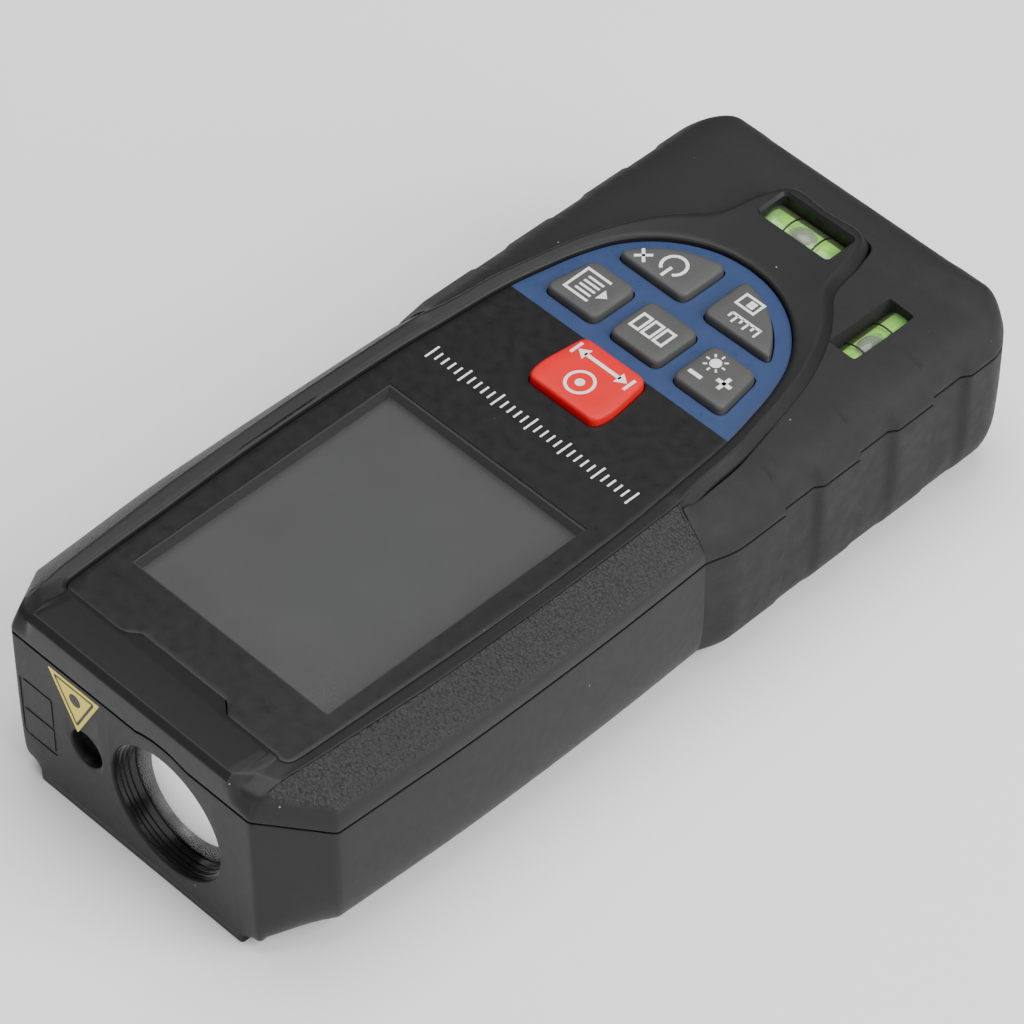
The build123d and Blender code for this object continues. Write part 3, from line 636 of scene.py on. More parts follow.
def make_upper_shell():
    """Closed outlines stacked from the ledge under the fascia, over the border, lip and shoulder, down to
    the parting line and back inside; each corner of the stack is softened by its own radius."""
    ledge_z = FASCIA_BASE_Z - 0.04
    ledge = round_fascia(-1.4, ledge_z)
    foot_of_wall, top_of_wall = round_fascia(0.14, ledge_z), round_fascia(0.14, FASCIA_Z + 0.4)
    rim = round_fascia(0.5, BORDER_Z - 0.2)
    top_of_wall[SPLITS[2]:SPLITS[4], 2] = 26.7
    rim[:SPLITS[1] + 1, 2] = 26.45
    rim[SPLITS[2]:SPLITS[4], 2] = 26.9
    crease = front_row(
        [*[(x, 58.2, LIP_Z) for x in FRONT_XS], (17.7, 55.6, 26.75), (19.7, 54.6, 26.6), (20.1, 53.9, 26.62),
         (20.45, 51.6, 26.72), (20.55, 50.9, 26.75), (21.5, 36.5, 26.75), (21.8, 24, 26.75),
         (21.75, 8.3, 26.75), (21.45, JOIN, 26.75)], at_height(CONTOUR[:, :2], BORDER_Z))
    lower = front_row(
        [*[(x, HALF_LENGTH, 27.2) for x in FRONT_XS], (17.6, 58.2, 25.9),
         (19.6, 57.6, 25.9), (20.2, 56.9, 26.0), (24.55, 51.15, 23.4), (24.98, 50.3, 22.95),
         (25.65, 36.5, 22.85), (25.78, 21.5, 22.65), (25.6, 8.3, 22.45), (25.15, JOIN, 22.4)],
        rear_row(0.9, 25.45))
    belly = (crease + lower) / 2
    out = np.arange(len(FASCIA)) >= SPLITS[6]
    belly[out & (belly[:, 1] > JOIN)] += (0.16, 0, 0.16)
    ridge = (rim + crease) / 2
    ridge[:SPLITS[3] + 1, 0] = crease[:SPLITS[3] + 1, 0]
    ridge[:SPLITS[3] + 1, 1:] = (52.8, 27.08)
    ridge[0, 0] = belly[0, 0] = 0
    skirt = front_row(
        [*[(x, HALF_LENGTH, 25.1) for x in FRONT_XS], (17.3, HALF_LENGTH, 24.35), (19.5, HALF_LENGTH, 23.85),
         (20.35, 58.4, 23.6), (25.1, 51.85, 21.0), (SIDE - 0.06, 50.9, 20.9),
         *[(bowed(y) - 0.06, y, 21.3) for y in SIDE_YS]], rear_row(0.9, 24.6))
    seam = front_row(seam_points(), rear_row(0.85, 24.0))
    inner = front_row(seam_points(2.2), rear_row(0.4, 23.7))
    roof = at_height(ledge[:, :2], 23.4)
    rows = [foot_of_wall, top_of_wall, rim, ridge, crease, belly, lower, skirt, seam, inner, roof, ledge]
    n = len(FASCIA)
    fore = np.arange(n) <= JOIN_COLUMN
    lip = np.arange(n) <= SPLITS[3]
    radii = [0.05, 0.12, np.where(fore, 0.3, 0.7), np.where(lip, 0.35, 1.0),
             np.where(lip, 0.22, np.where(fore, 0.3, 1.1)), np.where(lip, 0.1, 1.2),
             np.where(lip, 0.22, np.where(fore, 0.7, 0.3)), np.where(lip, 0.6, 1.0), 0.12, 0.1, 0.1, 0.1]
    steps = 5
    half = softened(np.stack(rows), radii, steps, closed=True)
    rings = np.stack([whole(h) for h in half])
    per_corner = steps + 1
    first = 8 * per_corner
    for k in range(first, first + 2 * per_corner):
        rings[k] = over_lens(rings[k])
        rings[k, :, 2] += SEAM_HALF_GAP
    shell = make_mesh("upper_shell", tube_solid(rings))
    x, y, z, half_length, half_width = VIALS["cross"]
    flare = rounded_box(x - half_length, x + half_length, y - half_width, y + half_width, 0.5)
    carve(shell, ring_solid([at_height(flare, 20), at_height(flare, 26.35),
                             at_height(grown(flare, -0.5), 26.95), at_height(grown(flare, -0.9), 28)]))
    carve(shell, turned(VIAL_SEAT, (x, y, z), "x", 48))
    return shell


def eased(value, low, high):
    """0 below low, 1 above high, with a smooth cubic between."""
    t = np.clip((value - low) / (high - low), 0, 1)
    return t * t * (3 - 2 * t)


def mark_shoulder_grain_and_sheen(shell):
    """Marks the sloping shoulder beside the display, where the case has its grain and a painted sheen: the
    mark is 1 where the surface slopes, and fades to 0 where it turns level or upright and towards the front."""
    mesh = shell.data
    n = len(mesh.vertices)
    place, normal = np.zeros(n * 3), np.zeros(n * 3)
    mesh.vertices.foreach_get("co", place)
    mesh.vertex_normals.foreach_get("vector", normal)
    place, normal = place.reshape(-1, 3) / METRES, normal.reshape(-1, 3)
    x, y, z = np.abs(place[:, 0]), place[:, 1], place[:, 2]
    slope = eased(normal[:, 2], 0.3, 0.55) * (1 - eased(normal[:, 2], 0.9, 0.97))
    on_shoulder = (y > JOIN - 0.05) & (z > 21.5) & (x > 20.1)
    mark = slope * eased(x - 20.3 - (y - 56.6) * 0.75, -0.2, 1.6) * on_shoulder
    # the grain mark drives both the real grain bumps and the painted sheen
    grain = mesh.attributes.new("grain", "FLOAT", "POINT")
    grain.data.foreach_set("value", mark)


# ---- lower shell ----
def make_lower_shell():
    """Closed outlines stacked from the outer floor up the sides to the parting line and down the inside.
    A foot is joined on, and the bores, door opening, screw wells and engraved marks are cut out."""
    def tucked(inset, z, lift=0.0):
        side, end = CORE_SIDE - inset, CORE_REAR + inset
        rear = [(side, y) for y in (JOIN - 0.1, -9.7, -17, -21.4, -26.4, -36, -46, -54 + lift)]
        rear += [(side - 2.6, end), (10, end), (0, end)]
        return flowing(at_height(rear, z), COUNTS[13:], [0] * 7 + [1, 0, 0])

    def level(inset, z):
        points = [(p[0] if i else 0, p[1], z) for i, p in enumerate(seam_points(inset))]
        return front_row(points, tucked(inset, z, inset * 0.4))

    def from_seam(inset):
        return front_row(seam_points(inset), tucked(inset, SIDE_SEAM_Z, inset * 0.4))

    n = len(FASCIA)
    to_side = eased(np.arange(n), SPLITS[5], SPLITS[7])[:, None]

    to_corner = eased(np.arange(n), SPLITS[3], SPLITS[5])[:, None]

    def bottom(front_inset, front_z, side_inset, side_z):
        front = level(0.0, front_z) * (1 - to_corner) + level(front_inset, front_z) * to_corner
        return front * (1 - to_side) + level(side_inset, side_z) * to_side

    def shrunk(row, share=0.6):
        return row * np.array([share, share, 1.0])

    base = bottom(1.9, CASE_FLOOR_Z, 4.2, CASE_FLOOR_Z)
    outer = [shrunk(base), base, bottom(0.4, 1.7, 1.1, 3.6), bottom(0.0, 4.2, 0.05, 8.6), from_seam(0.0)]
    inner = [from_seam(2.4), level(2.4, 7.0), level(3.4, 3.6), shrunk(level(3.4, 3.0))]
    radii = [0, 2.5, 9.0, 9.0, 0.12, 0.1, 1.0, 1.0, 0]
    steps = 8
    half = softened(np.stack(outer + inner), radii, steps)
    rings = np.stack([whole(h) for h in half])
    per_corner = steps + 1
    last = 1 + 3 * per_corner
    for k in range(last, last + 2 * per_corner):
        rings[k] = over_lens(rings[k])
        rings[k, :, 2] -= SEAM_HALF_GAP
    shell = make_mesh("lower_shell", ring_solid(rings))
    carve(shell, foot_block(), "UNION")
    for x, radius in ((LENS_X, BORE_R), (LASER_X, APERTURE_R)):
        carve(shell, turned([(radius, 54), (radius, 58.75), (radius + 0.1, 58.93), (radius + 0.3, 59.02),
                             (radius + 0.9, 60)], (x, 0, BEAM_Z), "y", 128))
    carve(shell, box_solid(-DOOR[0], DOOR[0], DOOR[1], DOOR[2], -1, 5))
    for x, y in SCREWS:
        well = [(2.7, -1), (2.7, 0.5), (2.2, 1.1), (2.2, 5)]
        carve(shell, ring_solid([at_height(disc(x, y, radius, 48), z) for radius, z in well]))
    for mark in engraved_frame():
        carve(shell, facing_front(mark, 59.2))
    carve(shell, facing_front(prism(label_outline(), -0.1, 0.5), HALF_LENGTH))
    return shell


def foot_block():
    """The square foot under the front, with its edges eased."""
    plan = rounded_box(-FOOT_SIDE, FOOT_SIDE, 45.0, HALF_LENGTH - 0.005, 0.5)
    return ring_solid([at_height(grown(plan, 0.12), 0), at_height(plan, 0.12), at_height(plan, 5.5)])


def engraved_frame():
    """A plain engraved mark beside the aperture: an upright frame with a bar across it."""
    frame_line = rounded_box(13.6, 19.0, 6.9, 16.2, 0.5, 3)
    return [ribbon(frame_line, 0.5, -0.29, 0.2, closed=True),
            ribbon([(13.6, 11.2), (19.0, 11.2)], 0.5, -0.29, 0.2)]


def make_hinge_ears():
    """Two ears on the case that hold the door's pin, round about the pin and square in front of it."""
    y, z = HINGE
    turn = np.linspace(np.pi / 2, 3 * np.pi / 2, 20)
    side = np.concatenate([np.stack([y + 1.1 * np.cos(turn), z + 1.1 * np.sin(turn)], 1),
                           [(y + 2.0, z - 1.1), (y + 2.0, z + 1.1)]])
    ears = []
    for x0, x1 in ((7.7, 11.0), (-11.0, -7.7)):
        ears.append(ring_solid([np.column_stack([np.full(len(side), x), side]) for x in (x0, x1)]))
    return make_mesh("hinge_ears", merged(ears))


# ---- rubber grip ----
GRIP_COUNTS = [10, 6, 2, 6, 3, 6, 2, 6, 3, 6, 2, 6, 3, 5, 14, 6, 3, 10]


def grip_path():
    """Half of the rubber's outer plan: it flares out behind the join, runs back past three grooves, turns
    the round rear corner and ends in the middle of the rear."""
    rear = -HALF_LENGTH
    grooves = [y - 12.5 * i for i in range(3) for y in (-17.7, -17.85, -23.15, -24.25)]
    stations = [-10.9, *grooves, rear + GRIP_CORNER]
    sides = [(GRIP_SIDE - GRIP_TAPER * (stations[0] - y) / (stations[0] - rear), y) for y in stations]
    across = (sides[-1][0] - GRIP_CORNER, 16.5, 14.5, 0)
    points = [(SIDE, JOIN), *sides, *[(x, rear) for x in across]]
    bends = [1] + [0] * 13 + [1, 0, 0, 0]
    return flowing(at_height(points, 0), GRIP_COUNTS, bends)


GRIP = grip_path()
GRIP_SPLITS = np.concatenate([[0], np.cumsum(GRIP_COUNTS)])


def groove_depth():
    """How far each column of the rubber is set in: full on the groove floors, none between them, and a
    shallow hollow across the middle of the rear."""
    depth = np.zeros(len(GRIP))
    for first in (3, 7, 11):
        a, b, c = GRIP_SPLITS[first], GRIP_SPLITS[first + 1], GRIP_SPLITS[first + 2]
        depth[a:b + 1] = 0.75
        depth[b:c + 1] = np.linspace(0.75, 0, c - b + 1)
    a, b = GRIP_SPLITS[16], GRIP_SPLITS[17]
    depth[a:b + 1] = np.linspace(0, 0.6, b - a + 1)
    depth[b:] = 0.6
    return depth


def grip_inner(inset_side, inset_rear, z):
    """The rubber's inner face where it lies on the case, with the same columns as the outer plan."""
    line = GRIP.copy()
    x_in, y_in = CORE_SIDE + 0.05 - inset_side, CORE_REAR - 0.05 + inset_rear
    first, last = GRIP_SPLITS[14], GRIP_SPLITS[15]
    turn, start = GRIP[first, 1], GRIP[first, 0]
    line[:, 0] = np.where(np.arange(len(GRIP)) <= first, x_in, np.minimum(GRIP[:, 0] / start * x_in, x_in))
    line[:, 1] = np.maximum(GRIP[:, 1], y_in)
    line[first:last, 1] = np.maximum(turn + (GRIP[first:last, 1] - turn) / GRIP_CORNER * (turn - y_in), y_in)
    line[:, 2] = z
    return line


def whole_path(half):
    """A half path from the join to the middle of the rear, followed back to the join on the other side."""
    return np.concatenate([half, half[-2::-1] * np.array([-1.0, 1, 1])])


def set_in(line, amount):
    """Moves the outer plan inwards by an amount per column."""
    chord = np.gradient(GRIP[:, :2], axis=0)
    inward = np.stack([chord[:, 1], -chord[:, 0]], 1)
    inward /= np.linalg.norm(inward, axis=1)[:, None]
    inward[:GRIP_SPLITS[14]] = (-1, 0)
    inward[GRIP_SPLITS[15]:] = (0, 1)
    out = line.copy()
    out[:, :2] += inward * np.asarray(amount).reshape(-1, 1)
    return out


def flared():
    """How far each column of the rubber has swelled from the case's side to its own full width."""
    rise = np.clip((GRIP[:, 0] - SIDE) / (GRIP_SIDE - SIDE), 0, 1)
    rise[GRIP_SPLITS[1]:] = 1
    return rise


def make_grip_lower():
    """The lower half of the rubber: from the parting line down the grooved side, round the bottom edge and
    back along the case."""
    depth = groove_depth()
    flare = flared()
    seam = at_height(set_in(GRIP, depth)[:, :2], SIDE_SEAM_Z - SEAM_HALF_GAP)
    side = at_height(set_in(GRIP, depth + 0.2)[:, :2], 12.0)
    turn = at_height(set_in(GRIP, depth * 0.3 + 0.75)[:, :2], 4.5)
    edge = set_in(GRIP, depth * 0.1 + 4.2)
    edge[:, 2] = CASE_FLOOR_Z * (1 - flare)
    under = set_in(GRIP, 6.2 + 2.0 * flare)
    under[:, 2] = edge[:, 2]
    under_up = under.copy()
    under_up[:, 2] = CASE_FLOOR_Z + 0.02
    case_bend = grip_inner(0, 0, 9.0)
    case_seam = grip_inner(0, 0, SIDE_SEAM_Z - SEAM_HALF_GAP)
    rows = np.stack([seam, side, turn, edge, under, under_up, case_bend, case_seam])
    radii = [0.15, 6.0, 9.0, 9.0, 0.3, 0.05, 0.5, 0.05]
    rings = softened(rows, radii, 7, closed=True)
    columns = np.stack([whole_path(r) for r in rings]).transpose(1, 0, 2)
    return make_mesh("grip_bottom", ring_solid(columns))


def make_grip_upper():
    """The upper half of the rubber: from the parting line up the grooved side, over the soft top edge to
    the raised border round the keys, and back under its own skin."""
    depth = groove_depth()
    contour = flowing(at_height([(22.0, JOIN), (21.65, -9.5), (20.9, -17.0), (20.85, -17.2), (19.6, -22.5),
                                 (19.25, -23.8), (17.6, -29.6), (17.5, -29.9), (15.3, -35.6), (14.7, -36.6),
                                 (11.2, -41.3), (11.0, -41.5), (9.2, -44.0), (9.0, -44.8), (8.15, -49.4),
                                 (6.6, -52.4), (5.6, -52.65), (4.8, -52.7), (0, -52.75)], 0), GRIP_COUNTS,
                      [1] * 14 + [1, 0, 0, 0])
    ease = eased(flared(), 0, 1)
    rear = eased(np.arange(len(GRIP)), GRIP_SPLITS[14], GRIP_SPLITS[15])

    def section(at_join, at_side, at_rear):
        """A value that goes from the join to the full side and round the corner to the rear."""
        return (at_join + (at_side - at_join) * ease) * (1 - rear) + at_rear * rear

    seam = at_height(set_in(GRIP, depth)[:, :2], SIDE_SEAM_Z + SEAM_HALF_GAP)
    side = at_height(set_in(GRIP, depth + section(0.08, 0, 0))[:, :2], section(21.4, 20.6, 21.0))
    turn = at_height(set_in(GRIP, depth * 0.2 + section(0.45, 1.1, 0.5))[:, :2], section(22.5, 22.8, 23.9))
    edge = at_height(set_in(GRIP, depth * 0.1 + section(2.2, 3.8, 2.1))[:, :2], section(24.5, 24.8, 25.3))
    inner_top = contour.copy()
    inner_top[:, 2] = GRIP_TOP_Z - 0.05 + (1 - ease) * 1.0
    inner_low = contour.copy()
    inner_low[:, 2] = 22.6 - (1 - ease) * 0.4
    case_top = grip_inner(0.5, 0.5, 21.6)
    case_seam = grip_inner(0, 0, SIDE_SEAM_Z + SEAM_HALF_GAP)
    rows = np.stack([seam, side, turn, edge, inner_top, inner_low, case_top, case_seam])
    radii = [0.15, 4.0, 4.0, 5.0, 0.3, 0.1, 0.2, 0.05]
    rings = softened(rows, radii, 7, closed=True)
    columns = np.stack([whole_path(r) for r in rings]).transpose(1, 0, 2)
    grip = make_mesh("grip_top", ring_solid(columns))
    x, y, z, half_length, half_width = VIALS["long"]
    opening = rounded_box(x - half_width, x + half_width, y - half_length, y + half_length, 0.5)
    carve(grip, ring_solid([at_height(opening, 18), at_height(opening, 25.1),
                            at_height(grown(opening, -0.35), 25.55), at_height(grown(opening, -0.8), 27)]))
    carve(grip, turned(VIAL_SEAT, (x, y, z), "y", 48))
    return grip


# ---- keys ----
def mirrored(outline):
    return np.asarray(outline)[::-1] * np.array([-1.0, 1.0])


def key_outline(name):
    """The outline of a key in plan, with rounded corners. Left keys mirror the right ones."""
    if name == "key_measure":
        return rounded_outline([(-6.0, -10.2), (-5.1, -16.8), (5.1, -16.8), (6.0, -10.2), (5.4, -7.6),
                                (-5.4, -7.6)], [2.2, 1.2, 1.2, 2.2, 1.1, 1.1])
    if name == "key_function":
        return rounded_box(-3.95, 3.95, -26.55, -19.3, 1.2)
    if name == "key_memory":
        return rounded_outline([(6.4, -26.55), (13.4, -26.55), (14.6, -19.3), (6.4, -19.3)], 1.2)
    if name == "key_clear":
        turn = np.radians(np.linspace(-84.0, -28.5, 9))
        arc = [(14.2 * math.cos(a), FASCIA_END_Y + 14.2 * math.sin(a)) for a in turn]
        corners = [(1.55, -29.2), *arc]
        return rounded_outline(corners, [1.2, 1.4] + [0.6] * 7 + [1.6], 6)
    return mirrored(key_outline({"key_plus_minus": "key_memory", "key_unit": "key_clear"}[name]))


KEY_NAMES = ["key_measure", "key_function", "key_memory", "key_plus_minus", "key_clear", "key_unit"]


def make_key(name):
    """A cap from its outline: straight skirt, soft top edge and a slightly crowned face."""
    line = key_outline(name)
    middle = line.mean(0)
    stack = ((1.0, 23.3), (1.0, KEY_TOP_Z - 0.1), (0.72, KEY_TOP_Z), (0.3, KEY_TOP_Z))
    rows = [at_height(middle + (line - middle) * share, z) for share, z in stack]
    rings = softened(np.stack(rows), [0, 0.62, 0.3, 0], 6)
    return make_mesh(name + "_cap", ring_solid(rings))


# ---- printed marks ----
INK_TOP = KEY_TOP_Z + 0.02


def stroke(points, width=0.42, closed=False, z=INK_TOP):
    return ribbon(points, width, z - 0.06, z, closed)


def spot(x, y, radius, z=INK_TOP, steps=20):
    return prism(disc(x, y, radius, steps), z - 0.06, z)


def arc_line(x, y, radius, start, end, steps=18):
    turn = np.radians(np.linspace(start, end, steps))
    return np.stack([x + radius * np.cos(turn), y + radius * np.sin(turn)], 1)


def filled(points, z=INK_TOP):
    return prism(points, z - 0.06, z)


def outlined(x0, x1, y0, y1, width, closed=True):
    """A rectangle drawn as a line. When it is left open, the left side is missing."""
    return stroke([(x0, y0), (x1, y0), (x1, y1), (x0, y1)], width, closed)


def dash(x0, x1, y, width):
    return stroke([(x0, y), (x1, y)], width)


def post(x, y0, y1, width):
    return stroke([(x, y0), (x, y1)], width)


def marks_measure():
    """A ring with a spot, over a length marked off between two ends."""
    y, bar, head, reach = -10.9, -14.6, 0.9, 2.6
    tips = [filled([(-4.0, bar), (-reach, bar - head), (-reach, bar + head)]),
            filled([(4.0, bar), (reach, bar + head), (reach, bar - head)])]
    ends = [post(side * 4.35, -15.6, -13.6, 0.4) for side in (-1, 1)]
    ring = stroke(disc(0, y, 1.75, 40), 0.4, True)
    return [ring, spot(0, y, 0.6), dash(-2.9, 2.9, bar, 0.5), *tips, *ends]


def marks_function():
    """Three upright boxes in a row."""
    y = -22.9
    return [outlined(-2.4 + 1.9 * i, -1.1 + 1.9 * i, y - 1.2, y + 1.2, 0.36) for i in range(3)]


def marks_memory():
    """Four lines on a page, with an arrow pointing into it."""
    x, y = 10.1, -22.9
    lines = [dash(x - 0.9, x + 1.6, y + 1.3 - 0.75 * i, 0.34) for i in range(4)]
    page = outlined(x - 1.2, x + 2.6, y - 1.9, y + 2.1, 0.36, closed=False)
    return [*lines, page, filled([(x - 2.6, y + 0.2), (x - 1.5, y - 0.7), (x - 1.5, y + 1.1)])]


def marks_plus_minus():
    """A plus, a minus and a small sun."""
    x, y, bold = -10.1, -22.9, 0.55
    sun_x, sun_y = x + 1.2, y - 1.3
    rays = [stroke([(sun_x + r * math.cos(a), sun_y + r * math.sin(a)) for r in (1.0, 1.5)], 0.24)
            for a in np.radians(np.arange(0, 360, 45))]
    plus = [dash(x - 2.9, x - 0.7, y + 0.4, bold), post(x - 1.8, y - 0.7, y + 1.5, bold)]
    return [*plus, dash(x + 0.7, x + 2.7, y + 1.6, bold), spot(sun_x, sun_y, 0.75), *rays]


def marks_clear():
    """An open ring with a stem, and a cross."""
    x, y = 5.9, -32.2
    ring = [stroke(arc_line(x, y, 1.6, 125, 415), 0.42), post(x, y + 0.4, y + 2.2, 0.42)]
    left, right, low, high = x + 3.0, x + 4.6, y + 0.5, y + 2.1
    return ring + [stroke([(left, low), (right, high)], 0.4), stroke([(left, high), (right, low)], 0.4)]


def marks_unit():
    """A ruler over a box with a filled corner."""
    x, y = -5.9, -32.0
    teeth = [post(x - 3.0 + 0.9 * i, y + 0.4, y + (1.2 if i % 2 else 1.7), 0.3) for i in range(6)]
    corner = filled([(x + 0.2, y - 2.5), (x + 1.2, y - 2.5), (x + 1.2, y - 1.4), (x + 0.2, y - 1.4)])
    return [dash(x - 3.1, x + 1.5, y + 0.4, 0.34), *teeth,
            outlined(x - 0.4, x + 2.4, y - 2.9, y - 1.0, 0.34), corner]


KEY_MARKS = {"key_measure": marks_measure, "key_function": marks_function, "key_memory": marks_memory,
             "key_plus_minus": marks_plus_minus, "key_clear": marks_clear, "key_unit": marks_unit}


def scale_marks():
    """A ruler's ticks across the fascia: every fifth one is long."""
    marks = []
    for i in range(-15, 16):
        x, y, half = 1.1 * i, -3.0, (2.3 if i % 5 == 0 else 1.35) / 2
        marks.append(stroke([(x, y - half), (x, y + half)], 0.26, z=FASCIA_Z + 0.02))
    return make_mesh("scale_marks", merged(marks))


# ---- fascia and display ----
def make_fascia():
    """The printed cover, with its edge eased and openings for the window and the keys."""
    line = whole(FASCIA)[:, :2]
    rows = [at_height(line, FASCIA_BASE_Z), at_height(line, FASCIA_Z), at_height(grown(line, -0.8), FASCIA_Z)]
    cover = make_mesh("fascia_cover", ring_solid(softened(np.stack(rows), [0, 0.12, 0], 3)))
    half, rear, front = WINDOW
    carve(cover, box_solid(-half, half, rear, front, 24, 27))
    for name in KEY_NAMES:
        carve(cover, prism(grown(key_outline(name), -0.2), 24, 27))
    return cover


def make_window_well():
    """The walls round the display under the clear window, leaning in a little."""
    half, rear, front = WINDOW
    outer = np.array([(-half, rear), (half, rear), (half, front), (-half, front)], float)
    inner = outer * 0.985 + np.array([0, (rear + front) / 2 * 0.015])
    low, high = LCD_Z + 0.03, FASCIA_Z - 0.25
    rows = [at_height(outer, low), at_height(outer, high), at_height(inner, high), at_height(inner, low)]
    return make_mesh("window_well", tube_solid(np.stack(rows)))


def make_window():
    """The clear part of the cover, flush with the print."""
    half, rear, front = WINDOW
    return make_mesh("display_window", box_solid(-half + 0.01, half - 0.01, rear + 0.01, front - 0.01,
                                                 FASCIA_Z - 0.2, FASCIA_Z - 0.005))


# ---- optics ----
def make_lens_steps():
    """Stepped rings in front of the lens, turned from one profile."""
    profile = [(8.97, 58.6), (8.97, 53.2), (8.1, 53.2), (8.1, 56.0), (8.3, 56.05), (8.3, 56.9), (8.5, 56.95),
               (8.5, 57.5), (8.7, 57.55), (8.7, 58.0), (8.88, 58.05), (8.88, 58.6)]
    return make_mesh("lens_steps", lathe(profile, (LENS_X, 0, BEAM_Z), "y", 128))


def make_front_lens():
    """The round face of the receiver lens and its rim, turned from an arc of a large circle."""
    ball, apex, rim = 26.0, 57.2, 8.08
    r = np.linspace(rim, 0.05, 26)
    face = np.stack([r, apex - ball + np.sqrt(ball**2 - r**2)], 1)
    return make_mesh("front_lens", turned([(rim, 52.5), *face], (LENS_X, 0, BEAM_Z), "y", 96))


def label_outline(share=1.0):
    """A triangle, point down, shrunk about its middle by a share."""
    x, top, side = 9.35, 22.2, 8.85
    points = np.array([(x - side / 2, top), (x, top - side * 0.9), (x + side / 2, top)])
    middle = points.mean(0)
    return rounded_outline(middle + (points - middle) * share, 0.25 * share, 3)


def make_label():
    """A plain triangle, point down, with a thin dark border and a dot."""
    middle = label_outline().mean(0)
    border = label_outline(0.74)
    sheet = make_mesh("label_sheet", facing_front(prism(label_outline(0.985), -0.095, -0.01), HALF_LENGTH))
    dot = disc(middle[0], middle[1] + 0.1, 0.95)
    marks = [ribbon(border, 0.34, -0.05, -0.002, closed=True), prism(dot, -0.05, -0.002)]
    return sheet, make_mesh("label_marks", merged([facing_front(m, HALF_LENGTH) for m in marks]))


def vial_trim(name):
    """Two black lines round a vial, and the bubble between them."""
    x, y, z = VIALS[name][:3]
    axis = "x" if name == "cross" else "y"
    r = VIAL_R + 0.02
    lines = [lathe([(r, s * 2.35 - 0.14), (r + 0.03, s * 2.35 - 0.14), (r + 0.03, s * 2.35 + 0.14),
                    (r, s * 2.35 + 0.14)], (x, y, z), axis, 64) for s in (-1, 1)]
    rings = make_mesh(f"vial_{name}_lines", merged(lines))
    u = np.linspace(0, np.pi, 15)[:, None]
    v = np.linspace(0, 2 * np.pi, 28, endpoint=False)[None, :]
    long_way, wide, tall = 2.0 * np.cos(u) + 0 * v, 1.45 * np.sin(u) * np.cos(v), 0.9 * np.sin(u) * np.sin(v)
    shift = 0.4
    if axis == "x":
        points = np.stack([x + shift + long_way, y + wide, z + 2.0 + tall], -1)
    else:
        points = np.stack([x + wide, y + shift + long_way, z + 2.0 + tall], -1)
    bubble = make_mesh(f"vial_{name}_bubble", ring_solid(points))
    return rings, bubble


# ---- put it together ----
upper = make_upper_shell()
mark_shoulder_grain_and_sheen(upper)
finished(upper, CASE, stands_for=["upper_case"], crease=38)
finished(make_lower_shell(), CASE_PAINTED_SHADE, stands_for=["lower_case"], crease=38)
finished(make_hinge_ears(), CASE_PAINTED_SHADE)
finished(make_grip_upper(), RUBBER, stands_for=["grip_upper"], crease=40)
finished(make_grip_lower(), RUBBER, stands_for=["grip_lower"], crease=40)
finished(make_fascia(), PRINT, stands_for=["display_fascia"])
finished(make_window(), WINDOW_CLEAR)
finished(make_window_well(), WELL_GREY)
finished(scale_marks(), INK)
for key in KEY_NAMES:
    red = key == "key_measure"
    finished(make_key(key), KEY_RED if red else KEY_GREY, key, [key], 50)
    finished(make_mesh(key + "_marks", merged(KEY_MARKS[key]())), INK, key)
finished(make_lens_steps(), GLOSS_BLACK, stands_for=["lens_ring", "lens_barrel"])
finished(make_front_lens(), LENS, stands_for=["receiver_lens"], crease=50)
label_sheet, label_marks = make_label()
finished(label_sheet, YELLOW, stands_for=["warning_label"])
finished(label_marks, DEEP_BLACK)
for vial in VIALS:
    vial_lines, vial_bubble = vial_trim(vial)
    finished(vial_lines, DEEP_BLACK)
    finished(vial_bubble, satin(f"bubble_{vial}", (0.16, 0.19, 0.15), 0.15, 0.02))

# ---- floor, light and camera ----
floor_half = 1.5
floor_corners = [(x * floor_half, y * floor_half, 0) for x, y in ((-1, -1), (1, -1), (1, 1), (-1, 1))]
floor_mesh = bpy.data.meshes.new("floor")
floor_mesh.from_pydata(floor_corners, [], [(0, 1, 2, 3)])
floor = bpy.data.objects.new("floor", floor_mesh)
bpy.context.scene.collection.objects.link(floor)
paper = Finish("pale_floor", (0.86, 0.86, 0.86), 0.9)
paper.mottled(6, 0.01)
paper.set("Emission Color", (1, 1, 1, 1))
paper.set("Emission Strength", 0.08)
floor_mesh.materials.append(paper.material)

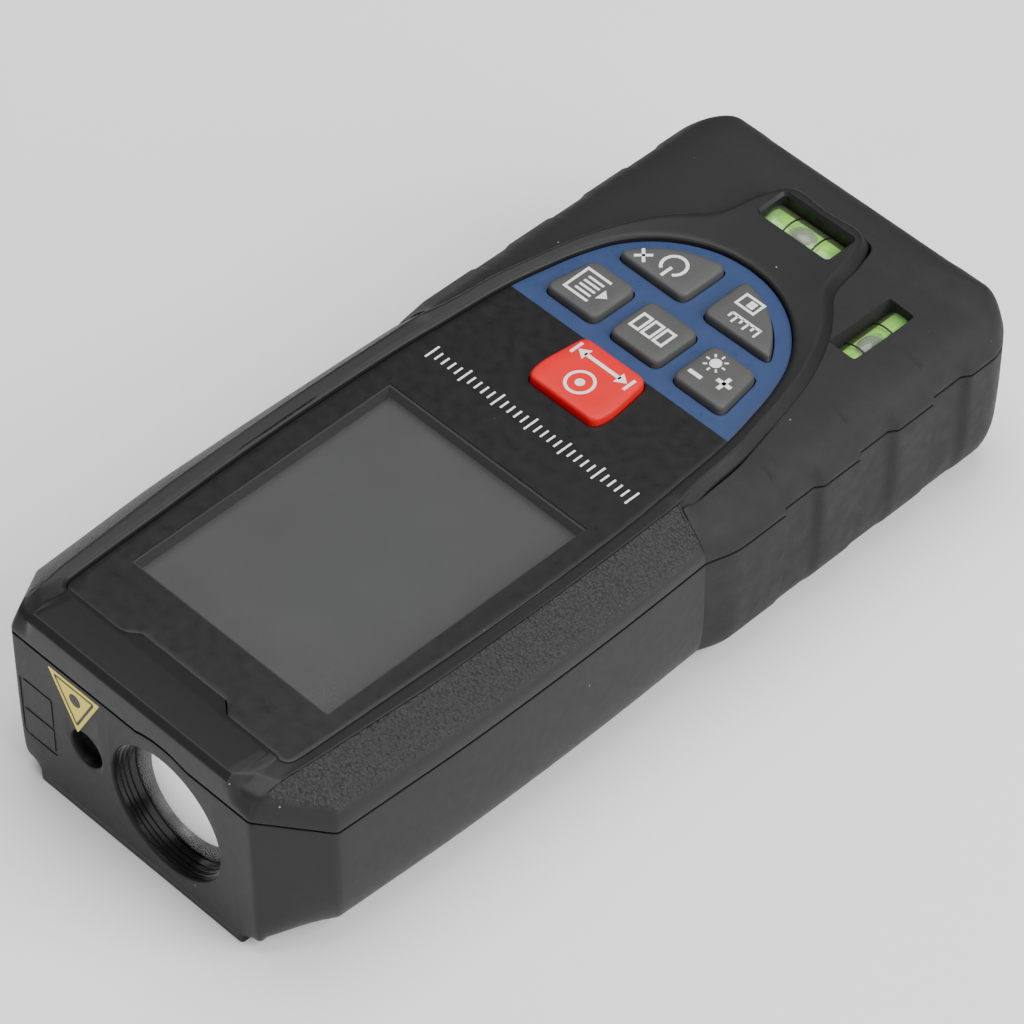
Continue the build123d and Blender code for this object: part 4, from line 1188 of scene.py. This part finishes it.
world = bpy.data.worlds.new("studio")
world.use_nodes = True
sky = world.node_tree.nodes["Background"]
where = world.node_tree.nodes.new("ShaderNodeTexCoord")
toward = world.node_tree.nodes.new("ShaderNodeVectorMath")
toward.operation = "DOT_PRODUCT"
toward.inputs[1].default_value = Vector((-0.45, -0.8, 0.4)).normalized()
shade = world.node_tree.nodes.new("ShaderNodeMapRange")
shade.inputs["From Min"].default_value, shade.inputs["From Max"].default_value = -0.7, 0.8
shade.inputs["To Min"].default_value, shade.inputs["To Max"].default_value = 0.2, 1.0
world.node_tree.links.new(where.outputs["Generated"], toward.inputs[0])
world.node_tree.links.new(toward.outputs["Value"], shade.inputs["Value"])
world.node_tree.links.new(shade.outputs["Result"], sky.inputs["Strength"])
bpy.context.scene.world = world


def soft_light(name, direction, distance, size, power):
    """A square soft light that faces the object from a direction."""
    lamp = bpy.data.lights.new(name, "AREA")
    lamp.size, lamp.energy = size, power
    holder = bpy.data.objects.new(name, lamp)
    way = Vector(direction).normalized()
    holder.location = way * distance
    holder.rotation_mode = "QUATERNION"
    holder.rotation_quaternion = way.to_track_quat("Z", "Y")
    bpy.context.scene.collection.objects.link(holder)


soft_light("side_light", (-1.0, -0.25, 0.75), 0.9, 0.8, 12.0)
soft_light("top_light", (0.15, -0.1, 1.0), 1.1, 0.9, 14.0)
soft_light("front_light", (-0.2, 1.0, 0.35), 1.0, 0.7, 3.0)

AZIMUTH, ELEVATION, ROLL = math.radians(226.87), math.radians(46.77), math.radians(-1.15)
DISTANCE = 0.7035
TARGET = Vector((0.0054, -0.0048, 0.0057))
lens = bpy.data.cameras.new("camera")
lens.lens, lens.sensor_width = 209.5, 36.0
lens.clip_start, lens.clip_end = 0.01, 20.0
camera = bpy.data.objects.new("camera", lens)
bpy.context.scene.collection.objects.link(camera)
away = Vector((math.sin(AZIMUTH) * math.cos(ELEVATION), -math.cos(AZIMUTH) * math.cos(ELEVATION),
               math.sin(ELEVATION)))
camera.location = TARGET + away * DISTANCE
camera.rotation_mode = "QUATERNION"
camera.rotation_quaternion = Quaternion(away, ROLL) @ (-away).to_track_quat("-Z", "Y")
bpy.context.scene.camera = camera
